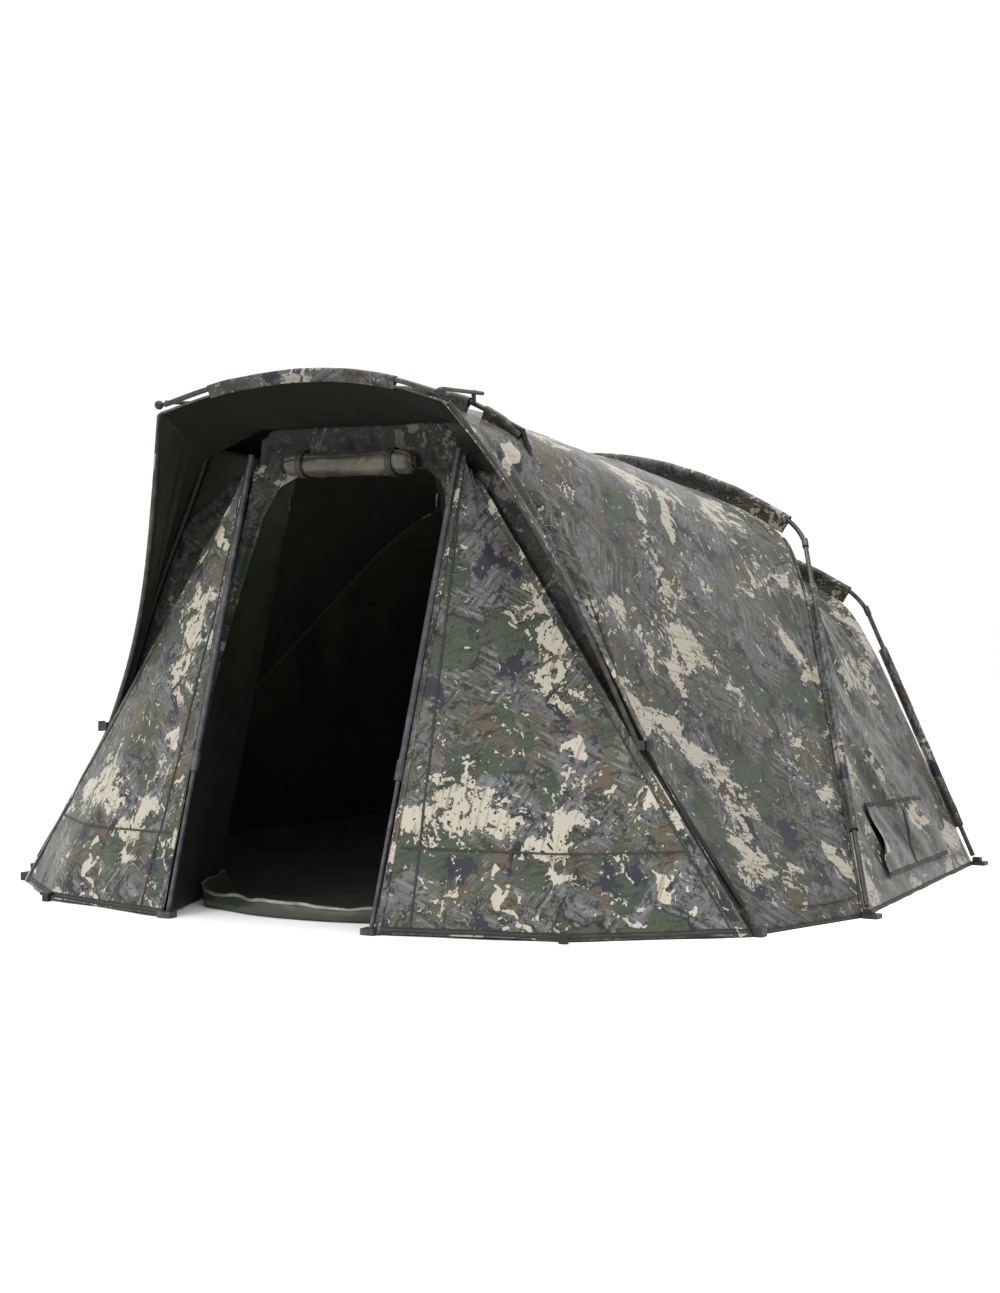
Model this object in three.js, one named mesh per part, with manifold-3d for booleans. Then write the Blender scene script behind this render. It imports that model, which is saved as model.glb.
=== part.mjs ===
// A one-person framed field shelter: a hooped alloy frame, a hooded front with two wings,
// a rolled-up door, a groundsheet, and a pegged fabric canopy over three bays.
// Millimetres, +Z up, +X across the shelter, the doorway facing -Y.
// The origin is on the ground, midway between the two hub blocks of the main rib.
import * as THREE from 'three';
import { mergeVertices } from 'three/addons/utils/BufferGeometryUtils.js';
import Module from 'manifold-3d';

const wasm = await Module();
wasm.setup();

// ---- driving dimensions -------------------------------------------------------------
const HUB_HALF_WIDTH = 1300;
const POLE_RADIUS = 8;
const PANEL_THICKNESS = 5;
const SEAM_MARGIN = 9;           // how far a panel stops short of the seam it is sewn to
const GAP = 0.3;                 // clearance between touching pieces
const FOOT_HEIGHT = 26;

// Main rib: an arch in the plane y = 0.
const MAIN_SHOULDER = [560, 0, 1400];
const MAIN_MID_LEG = [929, 0, 560];
const MAIN_UPPER_LEG = [768, 0, 950];
const MAIN_BEND_LOW = [592, 0, 1325];
const MAIN_BEND_HIGH = [552, 0, 1432];
const MAIN_ROOF_RISE = 158;
const MAIN_ROOF_POWER = 3.2;

// Brow: the front peak of the hood, hinged on the main legs.
const BROW_PIVOT = [952, -22, 505];
const BROW_KNUCKLE = [490, -345, 1507];
const BROW_BEND_LOW = [776, -28, 860];
const BROW_BEND_HIGH = [704, -115, 1140];
const BROW_ROOF_OUTER = [290, -322, 1562];
const BROW_ROOF_INNER = [90, -302, 1589];

// Rear rib and back rib: hoops that stand on feet of their own.
const REAR_FOOT = [1440, 500, 0];
const REAR_ELBOW = [850, 1430, 1168];
const REAR_ROOF_RISE = 265;
const REAR_ROOF_POWER = 2;
const BACK_FOOT = [1290, 1960, 0];
const BACK_ELBOW = [800, 2115, 934];
const BACK_ROOF_RISE = 280;
const BACK_ROOF_POWER = 1.6;
const BACK_HEM_CORNER = [1060, 2330, 0];
const BACK_HEM_MIDDLE = [0, 2440, 0];

// How far the canopy hangs inside the poles, across the legs and under the roof arcs.
const MAIN_INSET = { side: 16, roof: 30 };
const HOOP_INSET = { side: 18, roof: 52 };

// Front: storm poles, wings and the inner front wall with its doorway.
const STORM_FOOT = [352, -500, 0];
const STORM_TOP = [372, -34, 1392];
const WING_PEG = [900, -365, 0];
const DOOR_TOP_HALF = 240;
const DOOR_BOTTOM_HALF = 560;
const DOOR_TOP_Z = 1290;
const FRONT_WALL_Y = 22;
const DOOR_ROLL_RADIUS = 42;
const DOOR_ROLL_HALF_LENGTH = 225;
const SILL_NOSE_Y = -345;

// ---- materials ----------------------------------------------------------------------
const paint = (color, roughness, metalness) =>
  new THREE.MeshStandardMaterial({ color, roughness, metalness });
const camo = () => paint(0x6b6a60, 0.75, 0);
const lining = () => paint(0x2a2d26, 0.85, 0);
const darkAlloy = () => paint(0x3c3a3e, 0.45, 0.8);
const paleAlloy = () => paint(0x77777a, 0.4, 0.8);
const moulding = () => paint(0x1d1e1f, 0.5, 0);
const sheeting = () => paint(0x2f3a2a, 0.6, 0);

// ---- the scene ----------------------------------------------------------------------
const shelter = new THREE.Group();

function addPiece(name, geometry, material) {
  const mesh = new THREE.Mesh(geometry, material);
  mesh.name = name;
  shelter.add(mesh);
}

const SIDES = { left: -1, right: 1 };

// Builds one piece per side from a function of the side's sign.
function addPair(name, build, material) {
  for (const [side, sign] of Object.entries(SIDES)) {
    addPiece(`${name}_${side}`, build(sign), material());
  }
}

const vector = ([x, y, z], sign = 1) => new THREE.Vector3(x * sign, y, z);

// ---- solids -------------------------------------------------------------------------
function toSolid(geometry) {
  const bare = geometry.clone();
  bare.deleteAttribute('normal');
  bare.deleteAttribute('uv');
  const merged = mergeVertices(bare, 1e-3);
  return new wasm.Manifold(new wasm.Mesh({
    numProp: 3,
    vertProperties: new Float32Array(merged.attributes.position.array),
    triVerts: new Uint32Array(merged.index.array),
  }));
}

function fromSolid(solid) {
  const { vertProperties, triVerts } = solid.getMesh();
  const geometry = new THREE.BufferGeometry();
  geometry.setAttribute('position', new THREE.BufferAttribute(vertProperties, 3));
  geometry.setIndex(new THREE.BufferAttribute(triVerts, 1));
  return geometry;
}

function joined(...geometries) {
  return fromSolid(geometries.map(toSolid).reduce((whole, next) => whole.add(next)));
}

// A round rod along a curve, closed at both ends.
function rod(curve, steps, radius = POLE_RADIUS, sides = 10) {
  const section = new THREE.Shape();
  section.absarc(0, 0, radius, 0, Math.PI * 2, false);
  return new THREE.ExtrudeGeometry(section, {
    steps, extrudePath: curve, curveSegments: sides / 2, bevelEnabled: false,
  });
}

const straightRod = (from, to, radius, sides) =>
  rod(new THREE.LineCurve3(from, to), 1, radius, sides);

const boxAt = (x, y, z, sizeX, sizeY, sizeZ) =>
  new THREE.BoxGeometry(sizeX, sizeY, sizeZ).translate(x, y, z);

// The stretch of a curve between two shares of its length, as a curve of its own.
class Stretch extends THREE.Curve {
  constructor(curve, from, to) {
    super();
    this.curve = curve;
    this.from = from;
    this.to = to;
  }

  getPoint(t, target = new THREE.Vector3()) {
    return target.copy(this.curve.getPointAt(this.from + (this.to - this.from) * t));
  }
}

// A closed sheet: a grid of points on its outer face, and the same grid moved inwards.
function sheet(point, across, along, thickness = PANEL_THICKNESS) {
  const outer = [];
  const inner = [];
  const step = 1e-3;
  for (let j = 0; j <= along; j += 1) {
    for (let i = 0; i <= across; i += 1) {
      const [u, v] = [i / across, j / along];
      const here = point(u, v);
      const [uStep, vStep] = [u < 0.5 ? step : -step, v < 0.5 ? step : -step];
      const du = point(u + uStep, v).sub(here).multiplyScalar(Math.sign(uStep));
      const dv = point(u, v + vStep).sub(here).multiplyScalar(Math.sign(vStep));
      const normal = du.cross(dv).normalize();
      outer.push(here);
      inner.push(here.clone().addScaledVector(normal, -thickness));
    }
  }
  return closedGrid(outer, inner, across, along);
}

function closedGrid(outer, inner, across, along) {
  const positions = [...outer, ...inner].flatMap((p) => [p.x, p.y, p.z]);
  const offset = outer.length;
  const at = (i, j) => j * (across + 1) + i;
  const faces = [];
  const quad = (a, b, c, d) => faces.push(a, b, c, a, c, d);
  for (let j = 0; j < along; j += 1) {
    for (let i = 0; i < across; i += 1) {
      const corners = [at(i, j), at(i + 1, j), at(i + 1, j + 1), at(i, j + 1)];
      quad(...corners);
      quad(...corners.reverse().map((k) => k + offset));
    }
  }
  const rim = [];
  for (let i = 0; i < across; i += 1) rim.push([at(i, 0), at(i + 1, 0)]);
  for (let j = 0; j < along; j += 1) rim.push([at(across, j), at(across, j + 1)]);
  for (let i = across; i > 0; i -= 1) rim.push([at(i, along), at(i - 1, along)]);
  for (let j = along; j > 0; j -= 1) rim.push([at(0, j), at(0, j - 1)]);
  for (const [a, b] of rim) quad(b, a, a + offset, b + offset);
  const geometry = new THREE.BufferGeometry();
  geometry.setAttribute('position', new THREE.Float32BufferAttribute(positions, 3));
  geometry.setIndex(faces);
  return geometry;
}

// A fabric panel between two edge curves, held back from its seams on every side.
// `outward` is a point that the outer face looks towards.
function panel(first, second, outward, { across = 4, along = 8, ends = [0, 1] } = {}) {
  const width = first.getPoint(0.5).distanceTo(second.getPoint(0.5));
  const margin = Math.min(0.2, SEAM_MARGIN / width);
  const ruled = (u, v) => {
    const t = ends[0] + (ends[1] - ends[0]) * v;
    const share = margin + (1 - 2 * margin) * u;
    return first.getPoint(t).lerp(second.getPoint(t), share);
  };
  const middle = ruled(0.5, 0.5);
  const du = ruled(0.501, 0.5).sub(middle);
  const dv = ruled(0.5, 0.501).sub(middle);
  const facesOut = du.cross(dv).dot(outward.clone().sub(middle)) > 0;
  const oriented = facesOut ? ruled : (u, v) => ruled(1 - u, v);
  return sheet(oriented, across, along);
}

// ---- frame curves -------------------------------------------------------------------
// The roof arc of a hoop, from its left elbow to its right one.
class RoofArc extends THREE.Curve {
  constructor([x, y, z], rise, power, inset = { side: 0, roof: 0 }) {
    super();
    this.half = x - inset.side;
    this.y = y;
    this.base = z - inset.roof;
    this.rise = rise;
    this.power = power;
  }

  getPoint(t, target = new THREE.Vector3()) {
    const share = 2 * t - 1;
    const height = this.base + this.rise * (1 - Math.abs(share) ** this.power);
    return target.set(share * this.half, this.y, height);
  }
}

const insetPoint = ([x, y, z], { side, roof }, sign) =>
  new THREE.Vector3((x - side) * sign, y, z - roof);

const mainRoofArc = (inset) =>
  new RoofArc(MAIN_SHOULDER, MAIN_ROOF_RISE, MAIN_ROOF_POWER, inset);
const rearRoofArc = (inset) =>
  new RoofArc(REAR_ELBOW, REAR_ROOF_RISE, REAR_ROOF_POWER, inset);
const backRoofArc = (inset) =>
  new RoofArc(BACK_ELBOW, BACK_ROOF_RISE, BACK_ROOF_POWER, inset);

// The middle of a roof arc, between the same share of its parameter at either end.
function parameterStretch(curve, share) {
  const points = [];
  for (let i = 0; i <= 24; i += 1) {
    points.push(curve.getPoint(share + (1 - 2 * share) * (i / 24)));
  }
  return new THREE.CatmullRomCurve3(points, false, 'centripetal');
}

// The brow leg: up the main leg, then forwards to the knuckle.
const browLegCurve = (sign, inset = 0) => new THREE.CubicBezierCurve3(
  insetPoint(BROW_PIVOT, { side: inset, roof: 0 }, sign),
  insetPoint(BROW_BEND_LOW, { side: inset, roof: 0 }, sign),
  insetPoint(BROW_BEND_HIGH, { side: inset, roof: 0 }, sign),
  insetPoint(BROW_KNUCKLE, { side: inset, roof: inset }, sign),
);

const browRoofCurve = (drop = 0) => new THREE.CatmullRomCurve3([
  vector(BROW_KNUCKLE, -1),
  vector(BROW_ROOF_OUTER, -1),
  vector(BROW_ROOF_INNER, -1),
  vector(BROW_ROOF_INNER),
  vector(BROW_ROOF_OUTER),
  vector(BROW_KNUCKLE),
].map((point) => point.setZ(point.z - drop)), false, 'centripetal');

const hub = (sign, inset = 0) => new THREE.Vector3((HUB_HALF_WIDTH - inset) * sign, 0, 0);

// The main leg, from the hub to the shoulder.
const mainLegCurve = (sign, inset = { side: 0, roof: 0 }, foot = 0) =>
  new THREE.CatmullRomCurve3([
    new THREE.Vector3((HUB_HALF_WIDTH - inset.side) * sign, 0, foot),
    insetPoint(MAIN_MID_LEG, { side: inset.side, roof: 0 }, sign),
    insetPoint(MAIN_UPPER_LEG, { side: inset.side, roof: 0 }, sign),
    insetPoint(MAIN_SHOULDER, inset, sign),
  ], false, 'centripetal');

const hoopLeg = (foot, elbow, inset, sign, lift = 0) => new THREE.LineCurve3(
  new THREE.Vector3((foot[0] - inset.side) * sign, foot[1], lift),
  insetPoint(elbow, inset, sign),
);

// ---- frame: main rib and hubs ---------------------------------------------------------
const SOCKET_X = HUB_HALF_WIDTH - 28;
const SOCKET_TOP = FOOT_HEIGHT + 31;

// A hub block: a flat base, and beside it the socket that the main leg stands over.
addPair('hub_block', (sign) => joined(
  boxAt(sign * HUB_HALF_WIDTH, 0, FOOT_HEIGHT / 2, 46, 38, FOOT_HEIGHT),
  boxAt(sign * SOCKET_X, 0, SOCKET_TOP - 19, 28, 26, 38),
), moulding);

const LEG_START = [SOCKET_X, 0, SOCKET_TOP + 5];
const JOIN_GAP = 0.0022;          // share of a pole's curve left open where two sections meet
const MAIN_ROOF_CUT = 0.07;        // share of the roof arc that belongs to each leg

// Each main leg rises from its hub and bends over the shoulder into the roof arc.
addPair('main_leg', (sign) => {
  const roof = mainRoofArc();
  const roofEnd = roof.getPoint(sign > 0 ? 1 - MAIN_ROOF_CUT : MAIN_ROOF_CUT);
  const whole = new THREE.CatmullRomCurve3([
    vector(LEG_START, sign),
    vector(MAIN_MID_LEG, sign),
    vector(MAIN_UPPER_LEG, sign),
    vector(MAIN_BEND_LOW, sign),
    vector(MAIN_BEND_HIGH, sign),
    roofEnd,
  ], false, 'centripetal');
  return rod(new Stretch(whole, 0.012, 1), 18);
}, darkAlloy);

// A bent elbow: the end of the leg, the corner, and the start of the roof arc.
function elbow(legPoint, cornerPoint, roofPoint, ferrule) {
  const bend = new THREE.QuadraticBezierCurve3(legPoint, cornerPoint, roofPoint);
  const bent = rod(bend, 7);
  if (!ferrule) return bent;
  const along = legPoint.clone().sub(cornerPoint).normalize();
  const collarEnd = legPoint.clone().addScaledVector(along, -1);
  const collarStart = collarEnd.clone().addScaledVector(along, -34);
  return joined(bent, straightRod(collarStart, collarEnd, POLE_RADIUS + 3, 12));
}

addPiece('main_roof_pole', rod(parameterStretch(mainRoofArc(), MAIN_ROOF_CUT + JOIN_GAP), 20), darkAlloy());

// ---- frame: brow ------------------------------------------------------------------------
const TAB = { x: BROW_PIVOT[0] + 8, y: BROW_PIVOT[1] - 6, z: BROW_PIVOT[2] + 14 };
const BRACKET_X = BROW_PIVOT[0] + 29;

addPair('brow_bracket', (sign) => boxAt(
  sign * BRACKET_X, BROW_PIVOT[1] + 4, TAB.z, 10, 24, 32,
), moulding);

addPair('brow_leg', (sign) => joined(
  rod(new Stretch(browLegCurve(sign), 0.012, 0.972), 16),
  boxAt(sign * TAB.x, TAB.y, TAB.z, 24, 16, 26),
), darkAlloy);

const KNUCKLE_RADIUS = 14;

addPair('brow_knuckle', (sign) => new THREE.SphereGeometry(KNUCKLE_RADIUS, 14, 10)
  .translate(sign * (BROW_KNUCKLE[0] + 2), BROW_KNUCKLE[1] - 2, BROW_KNUCKLE[2] + 4), moulding);

addPiece('brow_roof_pole', rod(new Stretch(browRoofCurve(), 0.0165, 0.9835), 24), darkAlloy());

// Tension bars run back from the knuckles to clips on the main rib.
const BAR_END = [436, -18, 1532];
addPair('tension_bar', (sign) => {
  const front = new THREE.Vector3(
    sign * (BROW_KNUCKLE[0] - 5), BROW_KNUCKLE[1] + 22, BROW_KNUCKLE[2] + 14,
  );
  return straightRod(front, vector(BAR_END, sign), 6, 8);
}, darkAlloy);

const CLIP = [404, -14, 1536];
addPair('bar_clip', (sign) => joined(
  new THREE.SphereGeometry(9, 12, 8).translate(sign * CLIP[0], CLIP[1], CLIP[2]),
  boxAt(sign * CLIP[0], CLIP[1], CLIP[2] - 16, 11, 8, 30),
), moulding);

// ---- frame: rear and back hoops ------------------------------------------------------------
function addHoop(name, foot, elbowAt, roofArc, cut) {
  const footTop = FOOT_HEIGHT + GAP;
  const legOf = (sign) => new THREE.LineCurve3(
    vector(foot, sign),
    vector(elbowAt, sign),
  );
  const startShare = (footTop + 4) / elbowAt[2];
  addPair(`${name}_leg`, (sign) => rod(new Stretch(legOf(sign), startShare, cut.leg), 2), darkAlloy);
  addPair(`${name}_elbow`, (sign) => {
    const legPoint = legOf(sign).getPoint(cut.leg + JOIN_GAP);
    const roofPoint = roofArc.getPoint(sign > 0 ? 1 - cut.roof : cut.roof);
    return elbow(legPoint, vector(elbowAt, sign), roofPoint, true);
  }, darkAlloy);
  const roofStart = cut.roof + JOIN_GAP;
  addPiece(`${name}_roof_pole`, rod(parameterStretch(roofArc, roofStart), 24), darkAlloy());
}

addHoop('rear', REAR_FOOT, REAR_ELBOW, rearRoofArc(), { leg: 0.94, roof: 0.06 });
addHoop('back', BACK_FOOT, BACK_ELBOW, backRoofArc(), { leg: 0.925, roof: 0.06 });

// Each hoop stands in a socket foot with a flat base, just outside the hem of the canopy.
function socketFoot([x, y], sign) {
  return joined(
    boxAt(sign * (x + 10), y, 6, 46, 46, 12),
    boxAt(sign * (x + 1), y, FOOT_HEIGHT / 2 + 4, 26, 28, FOOT_HEIGHT - 8),
  );
}

addPair('rear_foot', (sign) => socketFoot(REAR_FOOT, sign), moulding);
addPair('back_foot', (sign) => socketFoot(BACK_FOOT, sign), moulding);

// ---- storm poles ----------------------------------------------------------------------------
const stormAxis = (sign) => new THREE.LineCurve3(vector(STORM_FOOT, sign), vector(STORM_TOP, sign));
const STORM_LOCK = 0.3;           // share of the pole's length at the cam lock
const STORM_BORE_END = 0.54;      // the lower section slides up to here inside the upper one
const LOWER_SECTION_TOP = 0.34;

addPair('storm_pole', (sign) => {
  const axis = stormAxis(sign);
  const tube = toSolid(rod(new Stretch(axis, STORM_LOCK + 0.012, 0.985), 1, 10.5, 12));
  const collar = toSolid(rod(new Stretch(axis, STORM_LOCK + 0.0003, STORM_LOCK + 0.04), 1, 14, 12));
  const bore = toSolid(rod(new Stretch(axis, STORM_LOCK - 0.02, STORM_BORE_END), 1, 8.4, 12));
  return fromSolid(tube.add(collar).subtract(bore));
}, paleAlloy);

addPair('storm_foot', (sign) => {
  const axis = stormAxis(sign);
  return joined(
    rod(new Stretch(axis, 0.01, LOWER_SECTION_TOP), 1, 7, 10),
    boxAt(sign * STORM_FOOT[0], STORM_FOOT[1], 9, 44, 38, 18),
  );
}, paleAlloy);

addPair('wing_peg', (sign) => joined(
  boxAt(sign * WING_PEG[0], WING_PEG[1] - 22, 10, 22, 18, 20),
  boxAt(sign * WING_PEG[0], WING_PEG[1] - 22, 23, 34, 26, 8),
), moulding);

// ---- fabric: wings, front wall and door ----------------------------------------------------------
const HEM_LIFT = 4;

// The wing hangs from the top of its storm pole and spreads to a hem on the ground.
const wingHem = (sign) => {
  const hem = new THREE.CurvePath();
  const hubEnd = new THREE.Vector3(sign * (HUB_HALF_WIDTH - 50), -14, HEM_LIFT);
  const peg = new THREE.Vector3(sign * WING_PEG[0], WING_PEG[1], HEM_LIFT);
  const poleEnd = new THREE.Vector3(sign * (STORM_FOOT[0] + 32), STORM_FOOT[1] + 6, HEM_LIFT);
  hem.add(new THREE.LineCurve3(hubEnd, peg));
  hem.add(new THREE.LineCurve3(peg, poleEnd));
  return hem;
};
const wingTop = (sign) => new THREE.LineCurve3(
  new THREE.Vector3(sign * (STORM_TOP[0] + 52), STORM_TOP[1] + 8, STORM_TOP[2] - 36),
  new THREE.Vector3(sign * (STORM_TOP[0] + 20), STORM_TOP[1] - 4, STORM_TOP[2] - 36),
);

const FRONT = new THREE.Vector3(0, -5000, 500);
addPair('wing', (sign) => panel(
  wingTop(sign), wingHem(sign), new THREE.Vector3(sign * 3000, -5000, 500),
  { across: 8, along: 8 },
), camo);

// The inner front wall, on either side of the doorway, with the side of the porch that runs
// back to it from just behind the storm pole.
const PORCH_SIDE = { low: 30, high: 1290, behindPole: 24, seam: 34 };

function porchSide(sign) {
  const { low, high, behindPole, seam } = PORCH_SIDE;
  const behind = (z) => stormAxis(sign).getPoint(z / STORM_TOP[2])
    .add(new THREE.Vector3(0, behindPole, 0));
  const seamAt = (half, z) =>
    new THREE.Vector3(sign * (half + seam), FRONT_WALL_Y + 26, z);
  return panel(
    new THREE.LineCurve3(behind(low), behind(high)),
    new THREE.LineCurve3(seamAt(DOOR_BOTTOM_HALF, low), seamAt(DOOR_TOP_HALF, high)),
    FRONT,
    { across: 3, along: 6 },
  );
}

addPair('front_wall', (sign) => {
  const outerEdge = new THREE.LineCurve3(
    new THREE.Vector3(sign * (HUB_HALF_WIDTH - 95), FRONT_WALL_Y, HEM_LIFT + 6),
    new THREE.Vector3(sign * (MAIN_SHOULDER[0] - 60), FRONT_WALL_Y, 1300),
  );
  const doorEdge = new THREE.LineCurve3(
    new THREE.Vector3(sign * DOOR_BOTTOM_HALF, FRONT_WALL_Y, HEM_LIFT + 6),
    new THREE.Vector3(sign * DOOR_TOP_HALF, FRONT_WALL_Y, 1300),
  );
  return joined(
    panel(outerEdge, doorEdge, FRONT, { across: 2, along: 4 }),
    porchSide(sign),
  );
}, lining);

addPiece('door_header', panel(
  new THREE.LineCurve3(
    new THREE.Vector3(-335, -16, 1318), new THREE.Vector3(335, -16, 1318),
  ),
  new THREE.LineCurve3(
    new THREE.Vector3(-335, -16, 1452), new THREE.Vector3(335, -16, 1452),
  ),
  FRONT,
  { across: 1, along: 2 },
), camo());

const rollProfile = [
  [0, -1], [0.5, -1], [0.86, -0.93], [0.97, -0.75], [0.93, -0.35], [1, 0],
  [0.93, 0.35], [0.97, 0.75], [0.86, 0.93], [0.5, 1], [0, 1],
].map(([r, along]) => new THREE.Vector2(r * DOOR_ROLL_RADIUS, along * DOOR_ROLL_HALF_LENGTH));
const ROLL_CENTRE = [0, -64, DOOR_TOP_Z + 52];
const STRAP_X = 160;
addPiece('door_roll', new THREE.LatheGeometry(rollProfile, 16)
  .rotateZ(Math.PI / 2).translate(...ROLL_CENTRE), camo());

// Two straps with toggles hold the rolled door against the header.
addPair('roll_strap', (sign) => {
  const path = new THREE.Shape();
  const [outer, inner] = [DOOR_ROLL_RADIUS + 5, DOOR_ROLL_RADIUS + 1.5];
  path.absarc(0, 0, outer, Math.PI * 0.62, Math.PI * 2.38, false);
  path.absarc(0, 0, inner, Math.PI * 2.38, Math.PI * 0.62, true);
  return new THREE.ExtrudeGeometry(path, { depth: 22, bevelEnabled: false, curveSegments: 18 })
    .rotateY(Math.PI / 2).rotateX(Math.PI / 2)
    .translate(sign * STRAP_X - 11, ROLL_CENTRE[1], ROLL_CENTRE[2]);
}, moulding);

// ---- fabric: hood and canopy bays --------------------------------------------------------------------
const ABOVE = new THREE.Vector3(0, 600, 9000);
const beside = (sign) => new THREE.Vector3(sign * 9000, 800, 900);
const BEHIND = new THREE.Vector3(0, 9000, 3000);

class Shifted extends THREE.Curve {
  constructor(curve, x, y, z) {
    super();
    this.curve = curve;
    this.shift = new THREE.Vector3(x, y, z);
  }

  getPoint(t, target = new THREE.Vector3()) {
    return target.copy(this.curve.getPoint(t)).add(this.shift);
  }
}

addPiece('hood_roof', panel(
  browRoofCurve(22), new Shifted(mainRoofArc(MAIN_INSET), 0, -6, 0), ABOVE,
  { across: 4, along: 16, ends: [0.03, 0.97] },
), camo());

addPair('hood_side', (sign) => panel(
  browLegCurve(sign, 20),
  new Shifted(new Stretch(mainLegCurve(sign, MAIN_INSET), 0.4, 1), 0, -14, 0),
  beside(sign),
  { across: 3, along: 8, ends: [0.3, 0.97] },
), camo);

addPiece('main_bay_roof', panel(
  new Shifted(mainRoofArc(MAIN_INSET), 0, 6, 0), rearRoofArc(HOOP_INSET), ABOVE,
  { across: 4, along: 16, ends: [0.012, 0.988] },
), camo());

addPair('main_bay_side', (sign) => panel(
  new Shifted(mainLegCurve(sign, MAIN_INSET, HEM_LIFT), 0, 36, 0),
  hoopLeg(REAR_FOOT, REAR_ELBOW, HOOP_INSET, sign, HEM_LIFT),
  beside(sign),
  { across: 4, along: 10, ends: [0, 0.985] },
), camo);

addPiece('rear_bay_roof', panel(
  rearRoofArc(HOOP_INSET), backRoofArc(HOOP_INSET), ABOVE,
  { across: 3, along: 16, ends: [0.012, 0.988] },
), camo());

addPair('rear_bay_side', (sign) => panel(
  hoopLeg(REAR_FOOT, REAR_ELBOW, HOOP_INSET, sign, HEM_LIFT),
  hoopLeg(BACK_FOOT, BACK_ELBOW, HOOP_INSET, sign, HEM_LIFT),
  beside(sign),
  { across: 4, along: 8, ends: [0, 0.985] },
), camo);

// The back wall falls from the back hoop to a curved hem.
class BackHoop extends THREE.Curve {
  constructor(inset) {
    super();
    this.roof = backRoofArc(inset);
    this.inset = inset;
  }

  getPoint(t, target = new THREE.Vector3()) {
    const leg = 0.22;
    if (t < leg) {
      const side = hoopLeg(BACK_FOOT, BACK_ELBOW, this.inset, -1, HEM_LIFT);
      return target.copy(side.getPoint(t / leg));
    }
    if (t > 1 - leg) {
      const side = hoopLeg(BACK_FOOT, BACK_ELBOW, this.inset, 1, HEM_LIFT);
      return target.copy(side.getPoint((1 - t) / leg));
    }
    return target.copy(this.roof.getPoint((t - leg) / (1 - 2 * leg)));
  }
}

class BackHem extends THREE.Curve {
  getPoint(t, target = new THREE.Vector3()) {
    const hem = new THREE.CatmullRomCurve3([
      new THREE.Vector3(-(BACK_FOOT[0] - 50), BACK_FOOT[1] + 70, HEM_LIFT),
      new THREE.Vector3(-BACK_HEM_CORNER[0], BACK_HEM_CORNER[1], HEM_LIFT),
      new THREE.Vector3(BACK_HEM_MIDDLE[0], BACK_HEM_MIDDLE[1], HEM_LIFT),
      new THREE.Vector3(BACK_HEM_CORNER[0], BACK_HEM_CORNER[1], HEM_LIFT),
      new THREE.Vector3(BACK_FOOT[0] - 50, BACK_FOOT[1] + 70, HEM_LIFT),
    ], false, 'centripetal');
    return target.copy(hem.getPoint(t));
  }
}

addPiece('back_wall', panel(
  new Shifted(new BackHoop(HOOP_INSET), 0, 8, 0), new BackHem(), BEHIND,
  { across: 5, along: 24, ends: [0.05, 0.95] },
), camo());

// ---- groundsheet and sill -----------------------------------------------------------------------------
function slab(outline, bottom, height) {
  const shape = new THREE.Shape(outline.map(([x, y]) => new THREE.Vector2(x, y)));
  return new THREE.ExtrudeGeometry(shape, { depth: height, bevelEnabled: false })
    .translate(0, 0, bottom);
}

const mirrored = (points) => [
  ...points, ...points.slice().reverse().filter(([x]) => x !== 0).map(([x, y]) => [-x, y]),
];

addPiece('groundsheet', slab(mirrored([
  [0, 45], [1160, 45], [1195, 60], [1345, 480], [1350, 620], [1220, 1900], [1000, 2240], [0, 2350],
]), 0, 3), sheeting());

addPiece('door_sill', slab(mirrored([
  [0, SILL_NOSE_Y], [150, SILL_NOSE_Y + 14], [290, SILL_NOSE_Y + 60], [400, SILL_NOSE_Y + 115],
  [500, -20], [510, 32], [0, 32],
]), 0, 22), sheeting());

// ---- vent flaps over the mesh vents in the rear bay ------------------------------------------------------
const VENT = { along: [0.3, 0.72], low: 0.06, high: 0.27 };

addPair('vent_flap', (sign) => {
  const front = hoopLeg(REAR_FOOT, REAR_ELBOW, HOOP_INSET, sign, HEM_LIFT);
  const rear = hoopLeg(BACK_FOOT, BACK_ELBOW, HOOP_INSET, sign, HEM_LIFT);
  const off = 10;
  const point = (u, v) => {
    const t = VENT.low + (VENT.high - VENT.low) * v;
    const share = VENT.along[0] + (VENT.along[1] - VENT.along[0]) * u;
    const at = front.getPoint(t).lerp(rear.getPoint(t), share);
    return at.add(new THREE.Vector3(sign * off, 0, off * 0.5));
  };
  const oriented = sign > 0 ? point : (u, v) => point(1 - u, v);
  return sheet(oriented, 3, 3, 4);
}, camo);

// ---- door zip sliders ---------------------------------------------------------------------------------------
addPair('zip_slider', (sign) => {
  const [x, z] = [DOOR_TOP_HALF + 24, 1236];
  return joined(
    boxAt(sign * x, FRONT_WALL_Y - 10, z, 9, 5, 16),
    boxAt(sign * x, FRONT_WALL_Y - 14, z - 18, 5, 3, 30),
  );
}, moulding);

export default shelter;
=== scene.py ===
"""The looks of a one-person framed field shelter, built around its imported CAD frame.

Metres, +Z up, +X across the shelter, the doorway facing -Y. Every cloth piece is a grid of points
that carries its flat pattern place, in metres, in the attribute CLOTH_AT. Prints, weaves and
stitches read that place, so they keep one scale on every piece.
"""

import math

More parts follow.
